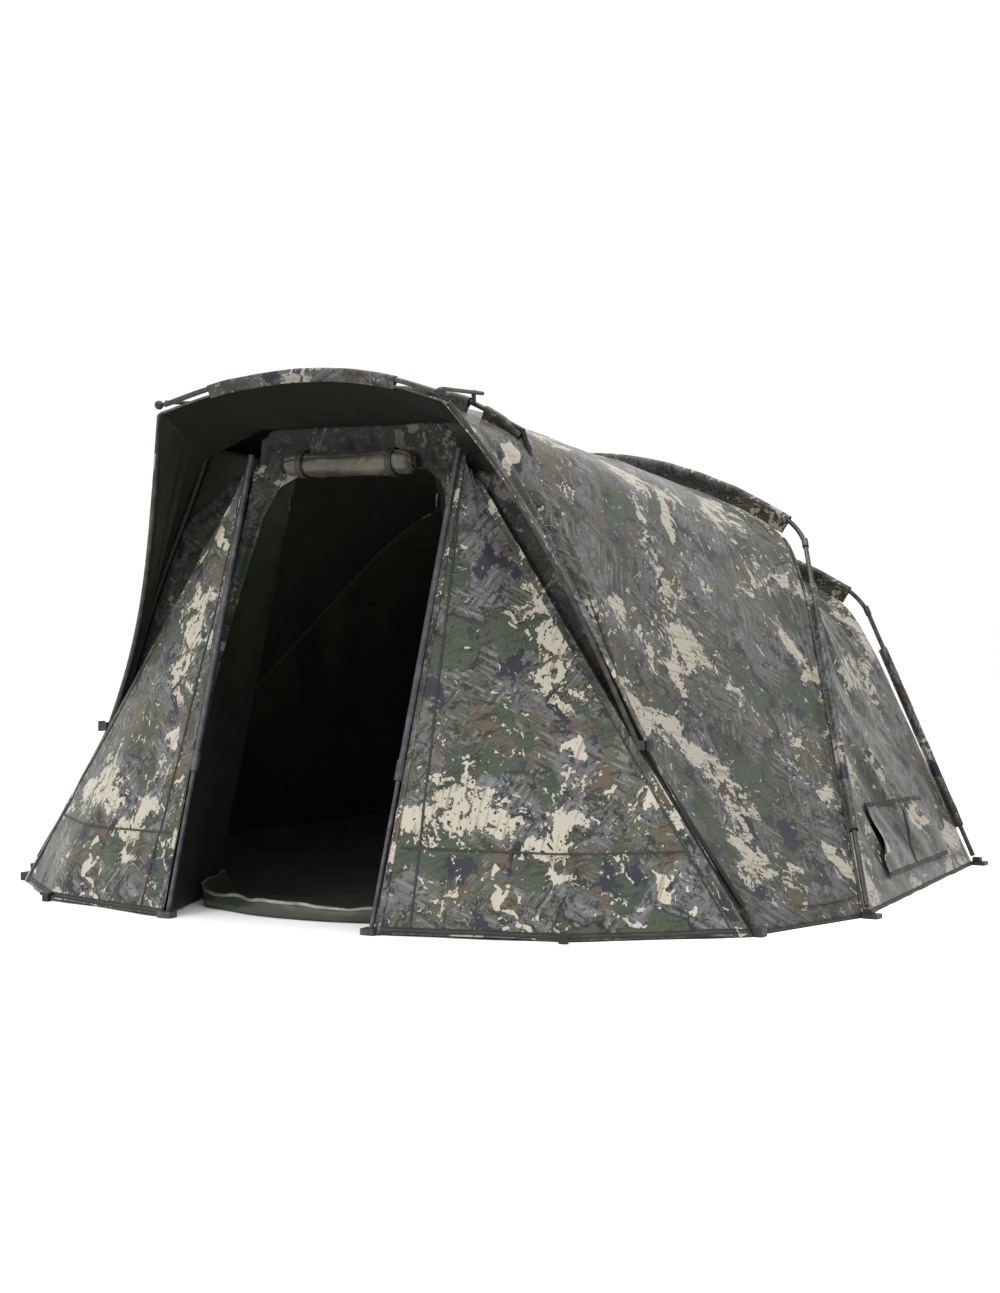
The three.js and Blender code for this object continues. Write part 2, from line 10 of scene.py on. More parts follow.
import bmesh
import bpy
import numpy as np
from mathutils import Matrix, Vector


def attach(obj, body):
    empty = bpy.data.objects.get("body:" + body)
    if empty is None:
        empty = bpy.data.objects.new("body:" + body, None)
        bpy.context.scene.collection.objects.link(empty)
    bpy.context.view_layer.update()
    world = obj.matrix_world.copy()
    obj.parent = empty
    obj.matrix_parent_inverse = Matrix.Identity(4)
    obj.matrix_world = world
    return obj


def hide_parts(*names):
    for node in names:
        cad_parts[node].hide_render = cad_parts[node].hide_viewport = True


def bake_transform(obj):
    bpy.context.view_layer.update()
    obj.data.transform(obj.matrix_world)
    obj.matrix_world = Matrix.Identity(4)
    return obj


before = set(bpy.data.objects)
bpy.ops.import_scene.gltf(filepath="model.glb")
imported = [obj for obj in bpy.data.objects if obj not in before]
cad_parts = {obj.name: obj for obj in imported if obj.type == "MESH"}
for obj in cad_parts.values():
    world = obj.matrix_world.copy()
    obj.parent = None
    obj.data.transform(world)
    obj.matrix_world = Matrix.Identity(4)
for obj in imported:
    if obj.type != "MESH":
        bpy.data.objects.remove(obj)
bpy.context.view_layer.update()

# ---- driving dimensions ---------------------------------------------------------------------
CLOTH_THICKNESS = 0.0012
HEM_LIFT = 0.004
HUB_X = 1.300

MAIN_SHOULDER = (0.560, 0.0, 1.400)
MAIN_MID_LEG = (0.929, 0.0, 0.560)
MAIN_UPPER_LEG = (0.768, 0.0, 0.950)
MAIN_RISE, MAIN_POWER = 0.158, 3.2
MAIN_LEG_COVER = 0.012          # the cloth passes this far outside the main leg's axis
MAIN_ROOF_DROP = 0.030          # and this far under the main roof pole's axis

BROW_PIVOT = (0.952, -0.022, 0.505)
BROW_BEND_LOW = (0.776, -0.028, 0.860)
BROW_BEND_HIGH = (0.704, -0.115, 1.140)
BROW_KNUCKLE = (0.490, -0.345, 1.507)
BROW_ROOF = (
    (-0.490, -0.345, 1.507),
    (-0.290, -0.322, 1.562),
    (-0.090, -0.302, 1.589),
    (0.090, -0.302, 1.589),
    (0.290, -0.322, 1.562),
    (0.490, -0.345, 1.507),
)
BROW_DROP = 0.022

HOOP_INSET = (0.018, 0.052)
REAR_FOOT = (1.440, 0.500, 0.0)
REAR_ELBOW = (0.850, 1.430, 1.168)
REAR_RISE, REAR_POWER = 0.265, 2.0
BACK_FOOT = (1.290, 1.960, 0.0)
BACK_ELBOW = (0.800, 2.115, 0.934)
BACK_RISE, BACK_POWER = 0.280, 1.6
BACK_HEM = (
    (-1.240, 2.030, 0.0),
    (-1.060, 2.330, 0.0),
    (0.0, 2.440, 0.0),
    (1.060, 2.330, 0.0),
    (1.240, 2.030, 0.0),
)

STORM_FOOT = (0.352, -0.500, 0.0)
STORM_TOP = (0.372, -0.034, 1.392)
WING_PEG = (0.900, -0.365, 0.0)
WING_TOP_Z = 1.356
VALANCE_Z = 0.235

FRONT_WALL_Y = 0.022
DOOR_TOP_HALF = 0.240
DOOR_BOTTOM_HALF = 0.560
DOOR_TOP_Z = 1.300
ROLL_RADIUS = 0.042
ROLL_HALF_LENGTH = 0.225
ROLL_CENTRE = (0.0, -0.064, 1.342)
STRAP_X = 0.160

SIDES = {"left": -1, "right": 1}


# ---- curves ---------------------------------------------------------------------------------
def lerp(a, b, t):
    return a + (b - a) * t


def smooth(x, low=0.0, high=1.0):
    t = np.clip((np.asarray(x, float) - low) / (high - low), 0, 1)
    return t * t * (3 - 2 * t)


def catmull(points, t):
    """Points at shares t of a centripetal Catmull-Rom curve."""
    p = np.array(points, float)
    spans = len(p) - 1
    p = np.vstack([2 * p[0] - p[1], p, 2 * p[-1] - p[-2]])
    x = np.clip(np.asarray(t, float), 0, 1) * spans
    i = np.minimum(x.astype(int), spans - 1)
    w = (x - i)[:, None]
    a, b, c, d = p[i], p[i + 1], p[i + 2], p[i + 3]
    pairs = ((a, b), (b, c), (c, d))
    d0, d1, d2 = (np.sqrt(np.linalg.norm(r - q, axis=1))[:, None] for q, r in pairs)
    m1 = ((b - a) / d0 - (c - a) / (d0 + d1) + (c - b) / d1) * d1
    m2 = ((c - b) / d1 - (d - b) / (d1 + d2) + (d - c) / d2) * d1
    w2, w3 = w * w, w**3
    ends = (2 * w3 - 3 * w2 + 1) * b + (3 * w2 - 2 * w3) * c
    return ends + (w3 - 2 * w2 + w) * m1 + (w3 - w2) * m2


def bezier(points, t):
    a, b, c, d = (np.array(p, float) for p in points)
    t = np.asarray(t, float)[:, None]
    s = 1 - t
    return a * s**3 + 3 * b * s * s * t + 3 * c * s * t * t + d * t**3


def unit(vectors):
    return vectors / np.linalg.norm(vectors, axis=1, keepdims=True)


def mirrored(points, sign):
    return np.asarray(points, float) * (sign, 1, 1)


def inset(point, amount):
    return (point[0] - amount[0], point[1], point[2] - amount[1])


def roof_arc(elbow, rise, power, share):
    """Points of a hoop's roof arc at shares -1 (left elbow) to 1 (right elbow)."""
    x = share * elbow[0]
    z = elbow[2] + rise * (1 - np.abs(share) ** power)
    return np.stack([x, np.full_like(x, elbow[1]), z], axis=1)


def resampled(points, count):
    """The same polyline with evenly spaced points."""
    points = np.asarray(points, float)
    length = run_length(points)
    at = np.linspace(0, length[-1], count)
    return np.stack([np.interp(at, length, points[:, k]) for k in range(3)], axis=1)


def run_length(points):
    steps = np.linalg.norm(np.diff(points, axis=0), axis=1)
    return np.concatenate([[0], np.cumsum(steps)])


def softened(points, reach):
    """A polyline with its corners rounded over `reach` points, its two ends kept."""
    points = np.asarray(points, float)
    before = 2 * points[0] - points[reach:0:-1]
    after = 2 * points[-1] - points[-2 : -reach - 2 : -1]
    padded = np.vstack([before, points, after])
    kernel = np.exp(-0.5 * (np.linspace(-2.2, 2.2, 2 * reach + 1)) ** 2)
    kernel /= kernel.sum()
    out = np.stack([np.convolve(padded[:, k], kernel, "valid") for k in range(3)], axis=1)
    out[0], out[-1] = points[0], points[-1]
    return out


# ---- folds ----------------------------------------------------------------------------------
NOISE_CELLS = 256


def ripple(x, y, seed):
    """Smooth noise from -1 to 1 with a cell of 1 by 1."""
    table = np.random.default_rng(seed).uniform(-1, 1, (NOISE_CELLS, NOISE_CELLS))
    i, j = np.floor(x).astype(int), np.floor(y).astype(int)
    u, v = smooth(x - i), smooth(y - j)
    i0, i1 = i % NOISE_CELLS, (i + 1) % NOISE_CELLS
    j0, j1 = j % NOISE_CELLS, (j + 1) % NOISE_CELLS
    low = lerp(table[i0, j0], table[i1, j0], u)
    high = lerp(table[i0, j1], table[i1, j1], u)
    return lerp(low, high, v)


def fold(at, angle, length, width, seed):
    """Long folds: `length` along the direction `angle`, `width` across it, both in metres."""
    c, s = math.cos(math.radians(angle)), math.sin(math.radians(angle))
    along, across = at[..., 0] * c + at[..., 1] * s, at[..., 1] * c - at[..., 0] * s
    return ripple(along / length + 40, across / width + 40, seed)


def grid_normals(grid):
    du = np.gradient(grid, axis=0)
    dv = np.gradient(grid, axis=1)
    n = np.cross(du, dv)
    return n / np.maximum(np.linalg.norm(n, axis=2, keepdims=True), 1e-9)


# ---- meshes ---------------------------------------------------------------------------------
CLOTH_AT = "cloth_at"


def new_object(name, vertices, faces, materials, at=None):
    mesh = bpy.data.meshes.new(name)
    mesh.from_pydata([tuple(v) for v in vertices], [], faces)
    if at is not None:
        attribute = mesh.attributes.new(CLOTH_AT, "FLOAT_VECTOR", "POINT")
        flat = np.zeros((len(vertices), 3), np.float32)
        flat[:, :2] = at
        attribute.data.foreach_set("vector", flat.ravel())
    mesh.update()
    mesh.shade_smooth()
    for material in materials:
        mesh.materials.append(material)
    obj = bpy.data.objects.new(name, mesh)
    bpy.context.scene.collection.objects.link(obj)
    return obj


def grid_faces(rows, cols, start=0, wrap=False):
    """Quads of a grid of points, row by row. With wrap, the last column joins the first."""
    last = cols if wrap else cols - 1
    i, j = np.meshgrid(np.arange(rows - 1), np.arange(last), indexing="ij")
    k = (j + 1) % cols
    quads = np.stack([i * cols + j, (i + 1) * cols + j, (i + 1) * cols + k, i * cols + k])
    return (quads.reshape(4, -1).T + start).tolist()


def weld(obj, distance=1e-5):
    shape = bmesh.new()
    shape.from_mesh(obj.data)
    bmesh.ops.remove_doubles(shape, verts=shape.verts, dist=distance)
    shape.to_mesh(obj.data)
    shape.free()


def face_towards(obj, point):
    """Turns all faces round if most of the surface looks away from the point."""
    mesh = obj.data
    count = len(mesh.polygons)
    normal, centre, area = np.zeros(count * 3), np.zeros(count * 3), np.zeros(count)
    mesh.polygons.foreach_get("normal", normal)
    mesh.polygons.foreach_get("center", centre)
    mesh.polygons.foreach_get("area", area)
    facing = ((np.array(point) - centre.reshape(-1, 3)) * normal.reshape(-1, 3)).sum(1)
    if (np.sign(facing) * area).sum() < 0:
        mesh.flip_normals()


def cloth(name, grids, ats, materials, outward, weights=None, thickness=CLOTH_THICKNESS):
    """One continuous sheet from one or more grids that share edges, lined on its inner face."""
    vertices, flats, faces, start = [], [], [], 0
    for grid, at in zip(grids, ats, strict=True):
        rows, cols = grid.shape[:2]
        faces += grid_faces(rows, cols, start)
        vertices.append(grid.reshape(-1, 3))
        flats.append(at.reshape(-1, 2))
        start += rows * cols
    obj = new_object(name, np.vstack(vertices), faces, materials, np.vstack(flats))
    if weights is not None:
        kept = obj.data.attributes.new(WEIGHT, "FLOAT", "POINT")
        kept.data.foreach_set("value", np.concatenate([w.ravel() for w in weights]))
    weld(obj)
    face_towards(obj, outward)
    shell = obj.modifiers.new("thickness", "SOLIDIFY")
    shell.thickness = thickness
    shell.offset = -1
    if len(materials) > 1:
        shell.material_offset = 1
    return obj


WEIGHT = "bend_weight"


def bend_between(obj):
    """Reads the bend weight that its grid gave each point, then bakes the piece's transform into its mesh;
    the weights are not used further.
    """
    count = len(obj.data.vertices)
    values = np.zeros(count, np.float32)
    obj.data.attributes[WEIGHT].data.foreach_get("value", values)
    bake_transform(obj)


def plane_places(grid, spread=0.0):
    """Flat pattern places of a nearly flat grid: across its plane, and up it."""
    points = grid.reshape(-1, 3)
    centre = points.mean(0)
    normal = np.linalg.svd(points - centre, full_matrices=False)[2][2]
    up = np.array([0, 0, 1.0]) - normal * normal[2]
    up /= np.linalg.norm(up)
    side = np.cross(up, normal)
    side *= np.sign(side[0]) or 1
    local = points - centre
    at = np.stack([local @ side + spread, local @ up], axis=1)
    return at.reshape(*grid.shape[:2], 2)


def band(name, path, facing, width, material, lift=0.0012, thick=0.0022, stitched=True):
    """A flat sewn band along a path, lying on the cloth. `facing` is its outward normal."""
    path, facing = np.asarray(path, float), np.asarray(facing, float)
    along = unit(np.gradient(path, axis=0))
    facing = unit(facing - (facing * along).sum(1, keepdims=True) * along)
    across = np.cross(facing, along)
    profile = np.array(
        [(-0.5, -0.6), (-0.47, 0.55), (-0.36, 1.0), (-0.3, 0.72), (0.3, 0.72), (0.36, 1.0),
         (0.47, 0.55), (0.5, -0.6)] if stitched else
        [(-0.5, -0.6), (-0.44, 0.7), (-0.2, 1.0), (0.2, 1.0), (0.44, 0.7), (0.5, -0.6)]
    )
    sideways = profile[:, 0] * width
    height = lift + profile[:, 1] * thick
    grid = (
        path[:, None, :]
        + across[:, None, :] * sideways[None, :, None]
        + facing[:, None, :] * height[None, :, None]
    )
    run = run_length(path)
    at = np.stack(np.broadcast_arrays(run[:, None], sideways[None, :]), axis=2)
    count = len(profile)
    faces = grid_faces(len(path), count, wrap=True)
    ends = [list(range(count)), [k + (len(path) - 1) * count for k in reversed(range(count))]]
    obj = new_object(name, grid.reshape(-1, 3), faces + ends, [material], at.reshape(-1, 2))
    face_towards(obj, path.mean(0) + facing.mean(0) * 4)
    return obj


def sleeve(name, path, down, height, material, girth=0.0115, seed=1):
    """A pole sleeve: loose cloth round the pole that narrows to the seam `height` below it."""
    path, down = np.asarray(path, float), np.asarray(down, float)
    along = unit(np.gradient(path, axis=0))
    down = unit(down - (down * along).sum(1, keepdims=True) * along)
    side = np.cross(along, down)
    run = run_length(path)
    turn = np.linspace(0, 2 * math.pi, 20, endpoint=False)
    depth = (1 - np.cos(turn)) / 2
    fall = -girth + depth * (height + girth)
    half = girth * np.sqrt(np.clip(1 - (np.clip(fall, -girth, 0) / girth) ** 2, 0, 1))
    taper = lerp(1.0, 0.12, smooth(fall, 0, height * 0.8))
    half = np.where(fall > 0, girth * taper, half) * np.sign(np.sin(turn) + 1e-12)
    slack = ripple(run[:, None] / 0.07, depth[None, :] * 2.4 + 7, seed) * 0.0022
    slack = slack + ripple(run[:, None] / 0.022, depth[None, :] * 1.6 + 3, seed + 1) * 0.0008
    ends = np.minimum(run, run[-1] - run)
    hem = 0.0012 * np.exp(-((ends - 0.012) / 0.006) ** 2)
    swell = half[None, :] + np.sign(half)[None, :] * (np.abs(slack) + hem[:, None])
    sag = fall[None, :] + slack * 0.5
    grid = path[:, None, :] + side[:, None, :] * swell[..., None] + down[:, None, :] * sag[..., None]
    rows, cols = grid.shape[:2]
    at = np.stack(np.broadcast_arrays(run[:, None], (fall + 0.4 * half)[None, :]), axis=2)
    faces = grid_faces(rows, cols, wrap=True)
    return new_object(name, grid.reshape(-1, 3), faces, [material], at.reshape(-1, 2))


# ---- materials ------------------------------------------------------------------------------
def colour(red, green, blue):
    """A display colour (0 to 255) as linear light."""
    def one(c):
        c /= 255
        return c / 12.92 if c <= 0.04045 else ((c + 0.055) / 1.055) ** 2.4
    return (one(red), one(green), one(blue), 1.0)


class Graph:
    """A node tree with a short call for each kind of node used here."""

    def __init__(self, tree):
        self.tree = tree

    def node(self, kind, inputs=None, **settings):
        made = self.tree.nodes.new(kind)
        for key, value in settings.items():
            setattr(made, key, value)
        for key, value in (inputs or {}).items():
            self.feed(made.inputs[key], value)
        return made

    def feed(self, socket, value):
        if isinstance(value, bpy.types.NodeSocket):
            self.tree.links.new(value, socket)
        else:
            socket.default_value = value

    def math(self, operation, a, b=0.0, clamp=False):
        made = self.node("ShaderNodeMath", {0: a, 1: b}, operation=operation, use_clamp=clamp)
        return made.outputs[0]

    def add(self, a, b):
        return self.math("ADD", a, b)

    def sub(self, a, b, clamp=False):
        return self.math("SUBTRACT", a, b, clamp)

    def mul(self, a, b):
        return self.math("MULTIPLY", a, b)

    def vector(self, operation, a, b=(0, 0, 0), scale=None):
        made = self.node("ShaderNodeVectorMath", {0: a, 1: b}, operation=operation)
        if scale is not None:
            self.feed(made.inputs["Scale"], scale)
        return made.outputs[0]

    def scaled(self, vector, scale):
        return self.vector("SCALE", vector, scale=scale)

    def noise(self, at, scale, detail=2.0, rough=0.5, output="Fac"):
        made = self.node(
            "ShaderNodeTexNoise",
            {"Vector": at, "Scale": scale, "Detail": detail, "Roughness": rough},
            noise_dimensions="2D",
        )
        return made.outputs[output]

    def step(self, value, low, high):
        """0 below low and 1 above high, smooth between."""
        made = self.node(
            "ShaderNodeMapRange",
            {"Value": value, "From Min": low, "From Max": high},
            interpolation_type="SMOOTHSTEP",
        )
        return made.outputs["Result"]

    def mix(self, share, a, b, blend_type="MIX"):
        made = self.node("ShaderNodeMix", data_type="RGBA", blend_type=blend_type)
        self.feed(made.inputs["Factor"], share)
        self.feed(made.inputs[6], a)
        self.feed(made.inputs[7], b)
        return made.outputs[2]

    def split(self, vector):
        return self.node("ShaderNodeSeparateXYZ", {0: vector}).outputs

    def stretched(self, at, angle, along, across):
        """Places turned by `angle` and scaled, for a texture drawn out along one direction."""
        made = self.node(
            "ShaderNodeMapping",
            {
                "Vector": at,
                "Rotation": (0, 0, math.radians(angle)),
                "Scale": (1 / along, 1 / across, 1),
            },
            vector_type="TEXTURE",
        )
        return made.outputs[0]


def new_group(name, outputs):
    tree = bpy.data.node_groups.new(name, "ShaderNodeTree")
    tree.interface.new_socket("At", in_out="INPUT", socket_type="NodeSocketVector")
    for key, kind in outputs.items():
        tree.interface.new_socket(key, in_out="OUTPUT", socket_type=kind)
    return tree


PRINT = {
    "grey": colour(112, 112, 114),
    "olive": colour(96, 98, 86),
    "ash": colour(142, 143, 143),
    "green": colour(80, 89, 76),
    "deep_green": colour(58, 66, 55),
    "brown": colour(106, 96, 81),
    "navy": colour(58, 60, 70),
    "cream": colour(206, 199, 181),
    "tan": colour(168, 158, 136),
    "bark": colour(46, 44, 40),
}


def leaf_mask(g, at, ragged, density, half_length, half_width, lobes, keep, shift):
    """Scattered leaf shapes and their veins: one leaf, turned its own way, in some cells."""
    placed = g.vector("ADD", at, shift)
    cells = g.node(
        "ShaderNodeTexVoronoi",
        {"Vector": placed, "Scale": density, "Randomness": 0.9},
        voronoi_dimensions="2D",
    )
    chance = g.split(cells.outputs["Color"])
    local = g.vector("SUBTRACT", placed, cells.outputs["Position"])
    turned = g.node(
        "ShaderNodeVectorRotate",
        {"Vector": local, "Angle": g.mul(chance[0], math.tau)},
        rotation_type="Z_AXIS",
    ).outputs[0]
    x, y = g.split(turned)[:2]
    side = g.math("ABSOLUTE", y)
    share = g.math("DIVIDE", x, half_length)
    body = g.sub(1.0, g.mul(share, share))
    wave = g.math("SINE", g.mul(x, lobes))
    edge = g.mul(body, g.add(half_width, g.mul(wave, half_width * 0.38)))
    edge = g.add(edge, g.mul(ragged, half_width * 0.5))
    inside = g.step(g.sub(edge, side), 0.0, 0.0012)
    mask = g.mul(inside, g.math("GREATER_THAN", chance[1], keep))
    stripes = g.math("SINE", g.mul(g.sub(side, g.mul(x, 0.7)), 330))
    spine = g.sub(1.0, g.step(side, 0.0008, 0.002))
    vein = g.math("MAXIMUM", g.step(stripes, 0.82, 0.97), spine)
    return mask, vein


def camo_print():
    """The printed pattern: brushed greys, leaf shapes, dark blots and pale ragged lichen."""
    tree = new_group("camo_print", {"Colour": "NodeSocketColor", "Pale": "NodeSocketFloat"})
    g = Graph(tree)
    at = g.node("NodeGroupInput").outputs["At"]
    drift = g.vector("SUBTRACT", g.noise(at, 6.0, 4.0, 0.6, "Color"), (0.5, 0.5, 0.5))
    bent = g.vector("ADD", at, g.scaled(drift, 0.11))
    fine = g.sub(g.noise(at, 95.0, 4.0, 0.65), 0.5)
    medium = g.sub(g.noise(bent, 26.0, 4.0, 0.62), 0.5)

    def shifted(x, y, base=bent):
        return g.vector("ADD", base, (x, y, 0))

    def blots(x, y, scale, low, fray):
        """Patches with a ragged rim: more `fray` tears them further."""
        value = g.noise(shifted(x, y), scale, 2.5, 0.5)
        value = g.add(value, g.mul(medium, fray))
        value = g.add(value, g.mul(fine, fray * 0.6))
        return g.step(value, low, low + 0.014)

    def strokes(angle, x, y):
        """Brush marks drawn along one direction."""
        place = g.stretched(shifted(x, y, at), angle, 9.0, 85.0)
        return g.noise(place, 1.0, 4.0, 0.62)

    def chosen(share, first, second):
        kept = g.mul(first, share)
        return g.add(kept, g.mul(second, g.sub(1.0, share)))

    # brushed ground in greys, its strokes running several ways
    tone = g.noise(bent, 4.6, 5.0, 0.62)
    ground = g.mix(g.step(tone, 0.45, 0.53), PRINT["grey"], PRINT["olive"])
    patchy = g.step(g.noise(shifted(8.1, 6.2), 5.5, 3.0), 0.48, 0.52)
    brush = chosen(patchy, strokes(52, 0, 0), strokes(-28, 2.7, 1.1))
    ground = g.mix(g.mul(g.step(brush, 0.52, 0.66), 0.75), ground, PRINT["ash"])
    ground = g.mix(g.mul(g.step(brush, 0.45, 0.33), 0.7), ground, PRINT["bark"])
    mottle = g.step(g.add(medium, g.mul(fine, 0.8)), 0.05, 0.12)
    ground = g.mix(g.mul(mottle, 0.75), ground, PRINT["bark"])

    streaks = strokes(20, 5.3, 0.7)
    dark_streaks = g.mul(g.step(streaks, 0.50, 0.64), 0.6)
    streaked_green = g.mix(dark_streaks, PRINT["green"], PRINT["deep_green"])
    streaked_brown = g.mix(dark_streaks, PRINT["brown"], PRINT["bark"])
    painted = g.mix(blots(3.1, 7.7, 5.4, 0.590, 0.34), ground, streaked_brown)
    painted = g.mix(blots(9.4, 2.2, 4.2, 0.600, 0.24), painted, streaked_green)
    painted = g.mix(blots(5.8, 5.1, 7.5, 0.645, 0.38), painted, PRINT["navy"])

    # broad leaves with a dark side, veins and a scalloped rim
    leaf, vein = leaf_mask(g, bent, medium, 3.4, 0.135, 0.056, 58.0, 0.55, (1.7, 4.9, 0))
    shadow, _ = leaf_mask(g, bent, medium, 3.4, 0.142, 0.062, 58.0, 0.55, (1.694, 4.893, 0))
    leafy = g.mix(g.mul(vein, 0.8), streaked_green, PRINT["olive"])
    painted = g.mix(g.mul(shadow, 0.75), painted, PRINT["bark"])
    painted = g.mix(leaf, painted, leafy)

    # thin dark cracks
    crack = g.math("ABSOLUTE", g.sub(g.noise(bent, 11.0, 5.0, 0.65), 0.5))
    cracked = g.sub(1.0, g.step(crack, 0.005, 0.016))
    cracked = g.mul(cracked, g.step(g.noise(at, 5.0, 2.0), 0.45, 0.53))
    painted = g.mix(g.mul(cracked, 0.75), painted, PRINT["bark"])

    # pale lichen in drifts: overlapping lobes torn apart by dark gaps, with dark specks
    drifts = g.noise(shifted(2.3, 8.8), 3.6, 2.0, 0.5)
    lobes = g.node(
        "ShaderNodeTexVoronoi",
        {"Vector": g.vector("ADD", bent, g.scaled(drift, 0.10)), "Scale": 30.0},
        voronoi_dimensions="2D",
    )
    petal = g.sub(0.5, lobes.outputs["Distance"])
    lace = g.noise(shifted(6.1, 1.9), 15.0, 5.0, 0.62)
    lace = g.add(g.mul(drifts, 0.78), g.mul(lace, 0.42))
    lace = g.add(lace, g.mul(petal, 0.16))
    lace = g.add(lace, g.mul(fine, 0.16))
    pale = g.step(lace, 0.720, 0.726)
    fringe = g.step(lace, 0.702, 0.708)
    specks = g.node(
        "ShaderNodeTexVoronoi", {"Vector": bent, "Scale": 62.0}, voronoi_dimensions="2D"
    )
    chance = g.split(specks.outputs["Color"])[0]
    size = g.mul(g.sub(chance, 0.62), 0.8)
    speck = g.step(g.sub(size, specks.outputs["Distance"]), -0.02, 0.04)
    holes = g.mul(speck, pale)
    pale_leaf, _ = leaf_mask(g, bent, medium, 2.9, 0.085, 0.036, 48.0, 0.70, (7.3, 3.6, 0))
    bitten = g.step(g.noise(shifted(4.4, 4.4, at), 9.0, 4.0, 0.6), 0.44, 0.45)
    pale = g.math("MAXIMUM", pale, g.mul(pale_leaf, bitten))
    crumbs = g.add(g.noise(bent, 34.0, 3.0, 0.6), g.mul(drifts, 0.30))
    pale = g.math("MAXIMUM", pale, g.step(crumbs, 0.825, 0.835))
    twigs, _ = leaf_mask(g, at, 0.0, 2.3, 0.060, 0.0016, 20.0, 0.62, (0.4, 6.6, 0))
    pale = g.math("MAXIMUM", pale, twigs)
    pale = g.sub(pale, holes, clamp=True)
    painted = g.mix(g.mul(fringe, 0.7), painted, PRINT["bark"])
    shaded_cream = g.mix(g.step(strokes(75, 1.2, 3.4), 0.54, 0.66), PRINT["cream"], PRINT["tan"])
    painted = g.mix(pale, painted, shaded_cream)
    painted = g.mix(g.mul(holes, 0.85), painted, PRINT["bark"])
    out = g.node("NodeGroupOutput")
    g.feed(out.inputs["Colour"], painted)
    g.feed(out.inputs["Pale"], pale)
    return tree


def weave(g, at, pitch):
    """Height from 0 to 1 of a plain weave with threads `pitch` metres apart."""
    x, y = g.split(at)[:2]
    rate = math.pi / pitch
    warp = g.math("SINE", g.mul(x, rate))
    weft = g.math("SINE", g.mul(y, rate))
    both = g.mul(warp, weft)
    return g.add(g.mul(both, 0.5), 0.5)


def new_material(name):
    material = bpy.data.materials.new(name)
    material.use_nodes = True
    material.node_tree.nodes.clear()
    g = Graph(material.node_tree)
    shader = g.node("ShaderNodeBsdfPrincipled")
    g.feed(g.node("ShaderNodeOutputMaterial").inputs["Surface"], shader.outputs[0])
    return material, g, shader


def cloth_place(g):
    return g.node("ShaderNodeAttribute", attribute_name=CLOTH_AT).outputs["Vector"]


def bumped(g, shader, height, distance, strength=0.6, base=None):
    made = g.node("ShaderNodeBump", {"Height": height, "Distance": distance, "Strength": strength})
    if base is not None:
        g.feed(made.inputs["Normal"], base)
    g.feed(shader.inputs["Normal"], made.outputs[0])
    return made.outputs[0]


def camo_cloth(name, darken=1.0, rough=0.46, shift=(0, 0, 0), crinkle=0.0016):
    """Coated woven cloth with the camouflage print, slightly glossy and finely creased."""
    material, g, shader = new_material(name)
    at = g.vector("ADD", cloth_place(g), shift)
    group = g.node("ShaderNodeGroup", node_tree=bpy.data.node_groups["camo_print"])
    g.feed(group.inputs["At"], at)
    grime = g.noise(at, 1.6, 4.0, 0.6)
    # darken scales the whole piece's colour; the wing, hem, flap and header copies use it for painted light
    # and shade
    shade = g.mul(g.add(0.86, g.mul(grime, 0.28)), darken)
    thread = g.noise(at, 420.0, 1.0)
    shade = g.mul(shade, g.add(0.93, g.mul(thread, 0.14)))
    tint = g.node("ShaderNodeCombineXYZ", {0: shade, 1: shade, 2: shade}).outputs[0]
    g.feed(shader.inputs["Base Color"], g.mix(1.0, group.outputs["Colour"], tint, "MULTIPLY"))
    worn = g.noise(at, 5.0, 4.0, 0.65)
    gloss = g.add(rough - 0.08, g.mul(worn, 0.2))
    g.feed(shader.inputs["Roughness"], g.add(gloss, g.mul(group.outputs["Pale"], 0.05)))
    shader.inputs["Specular IOR Level"].default_value = 0.20
    shader.inputs["Sheen Weight"].default_value = 0.03
    shader.inputs["Sheen Roughness"].default_value = 0.5
    creases = g.noise(at, 16.0, 6.0, 0.62)
    first = bumped(g, shader, creases, crinkle, 0.7)
    bumped(g, shader, weave(g, at, 0.0016), 0.00012, 0.5, first)
    return material


def plain_cloth(name, dark, light, rough, pitch=0.0014, streak=30, specular=0.4, crease=0.0012):
    """A single-colour woven cloth with soft colour variation, faded streaks and a weave."""
    material, g, shader = new_material(name)
    at = cloth_place(g)
    tone = g.noise(at, 3.0, 5.0, 0.6)
    faded = g.noise(g.stretched(at, streak, 3.0, 30.0), 1.0, 3.0, 0.6)
    share = g.add(g.mul(tone, 0.6), g.mul(faded, 0.4))
    base = g.mix(g.step(share, 0.35, 0.65), dark, light)
    thread = weave(g, at, pitch)
    g.feed(shader.inputs["Base Color"], g.mix(g.mul(thread, 0.25), base, dark))
    g.feed(shader.inputs["Roughness"], g.add(rough - 0.06, g.mul(tone, 0.16)))
    shader.inputs["Specular IOR Level"].default_value = specular
    shader.inputs["Sheen Weight"].default_value = 0.02
    first = bumped(g, shader, g.noise(at, 22.0, 5.0, 0.6), crease, 0.6)
    bumped(g, shader, thread, 0.0002, 0.6, first)
    return material


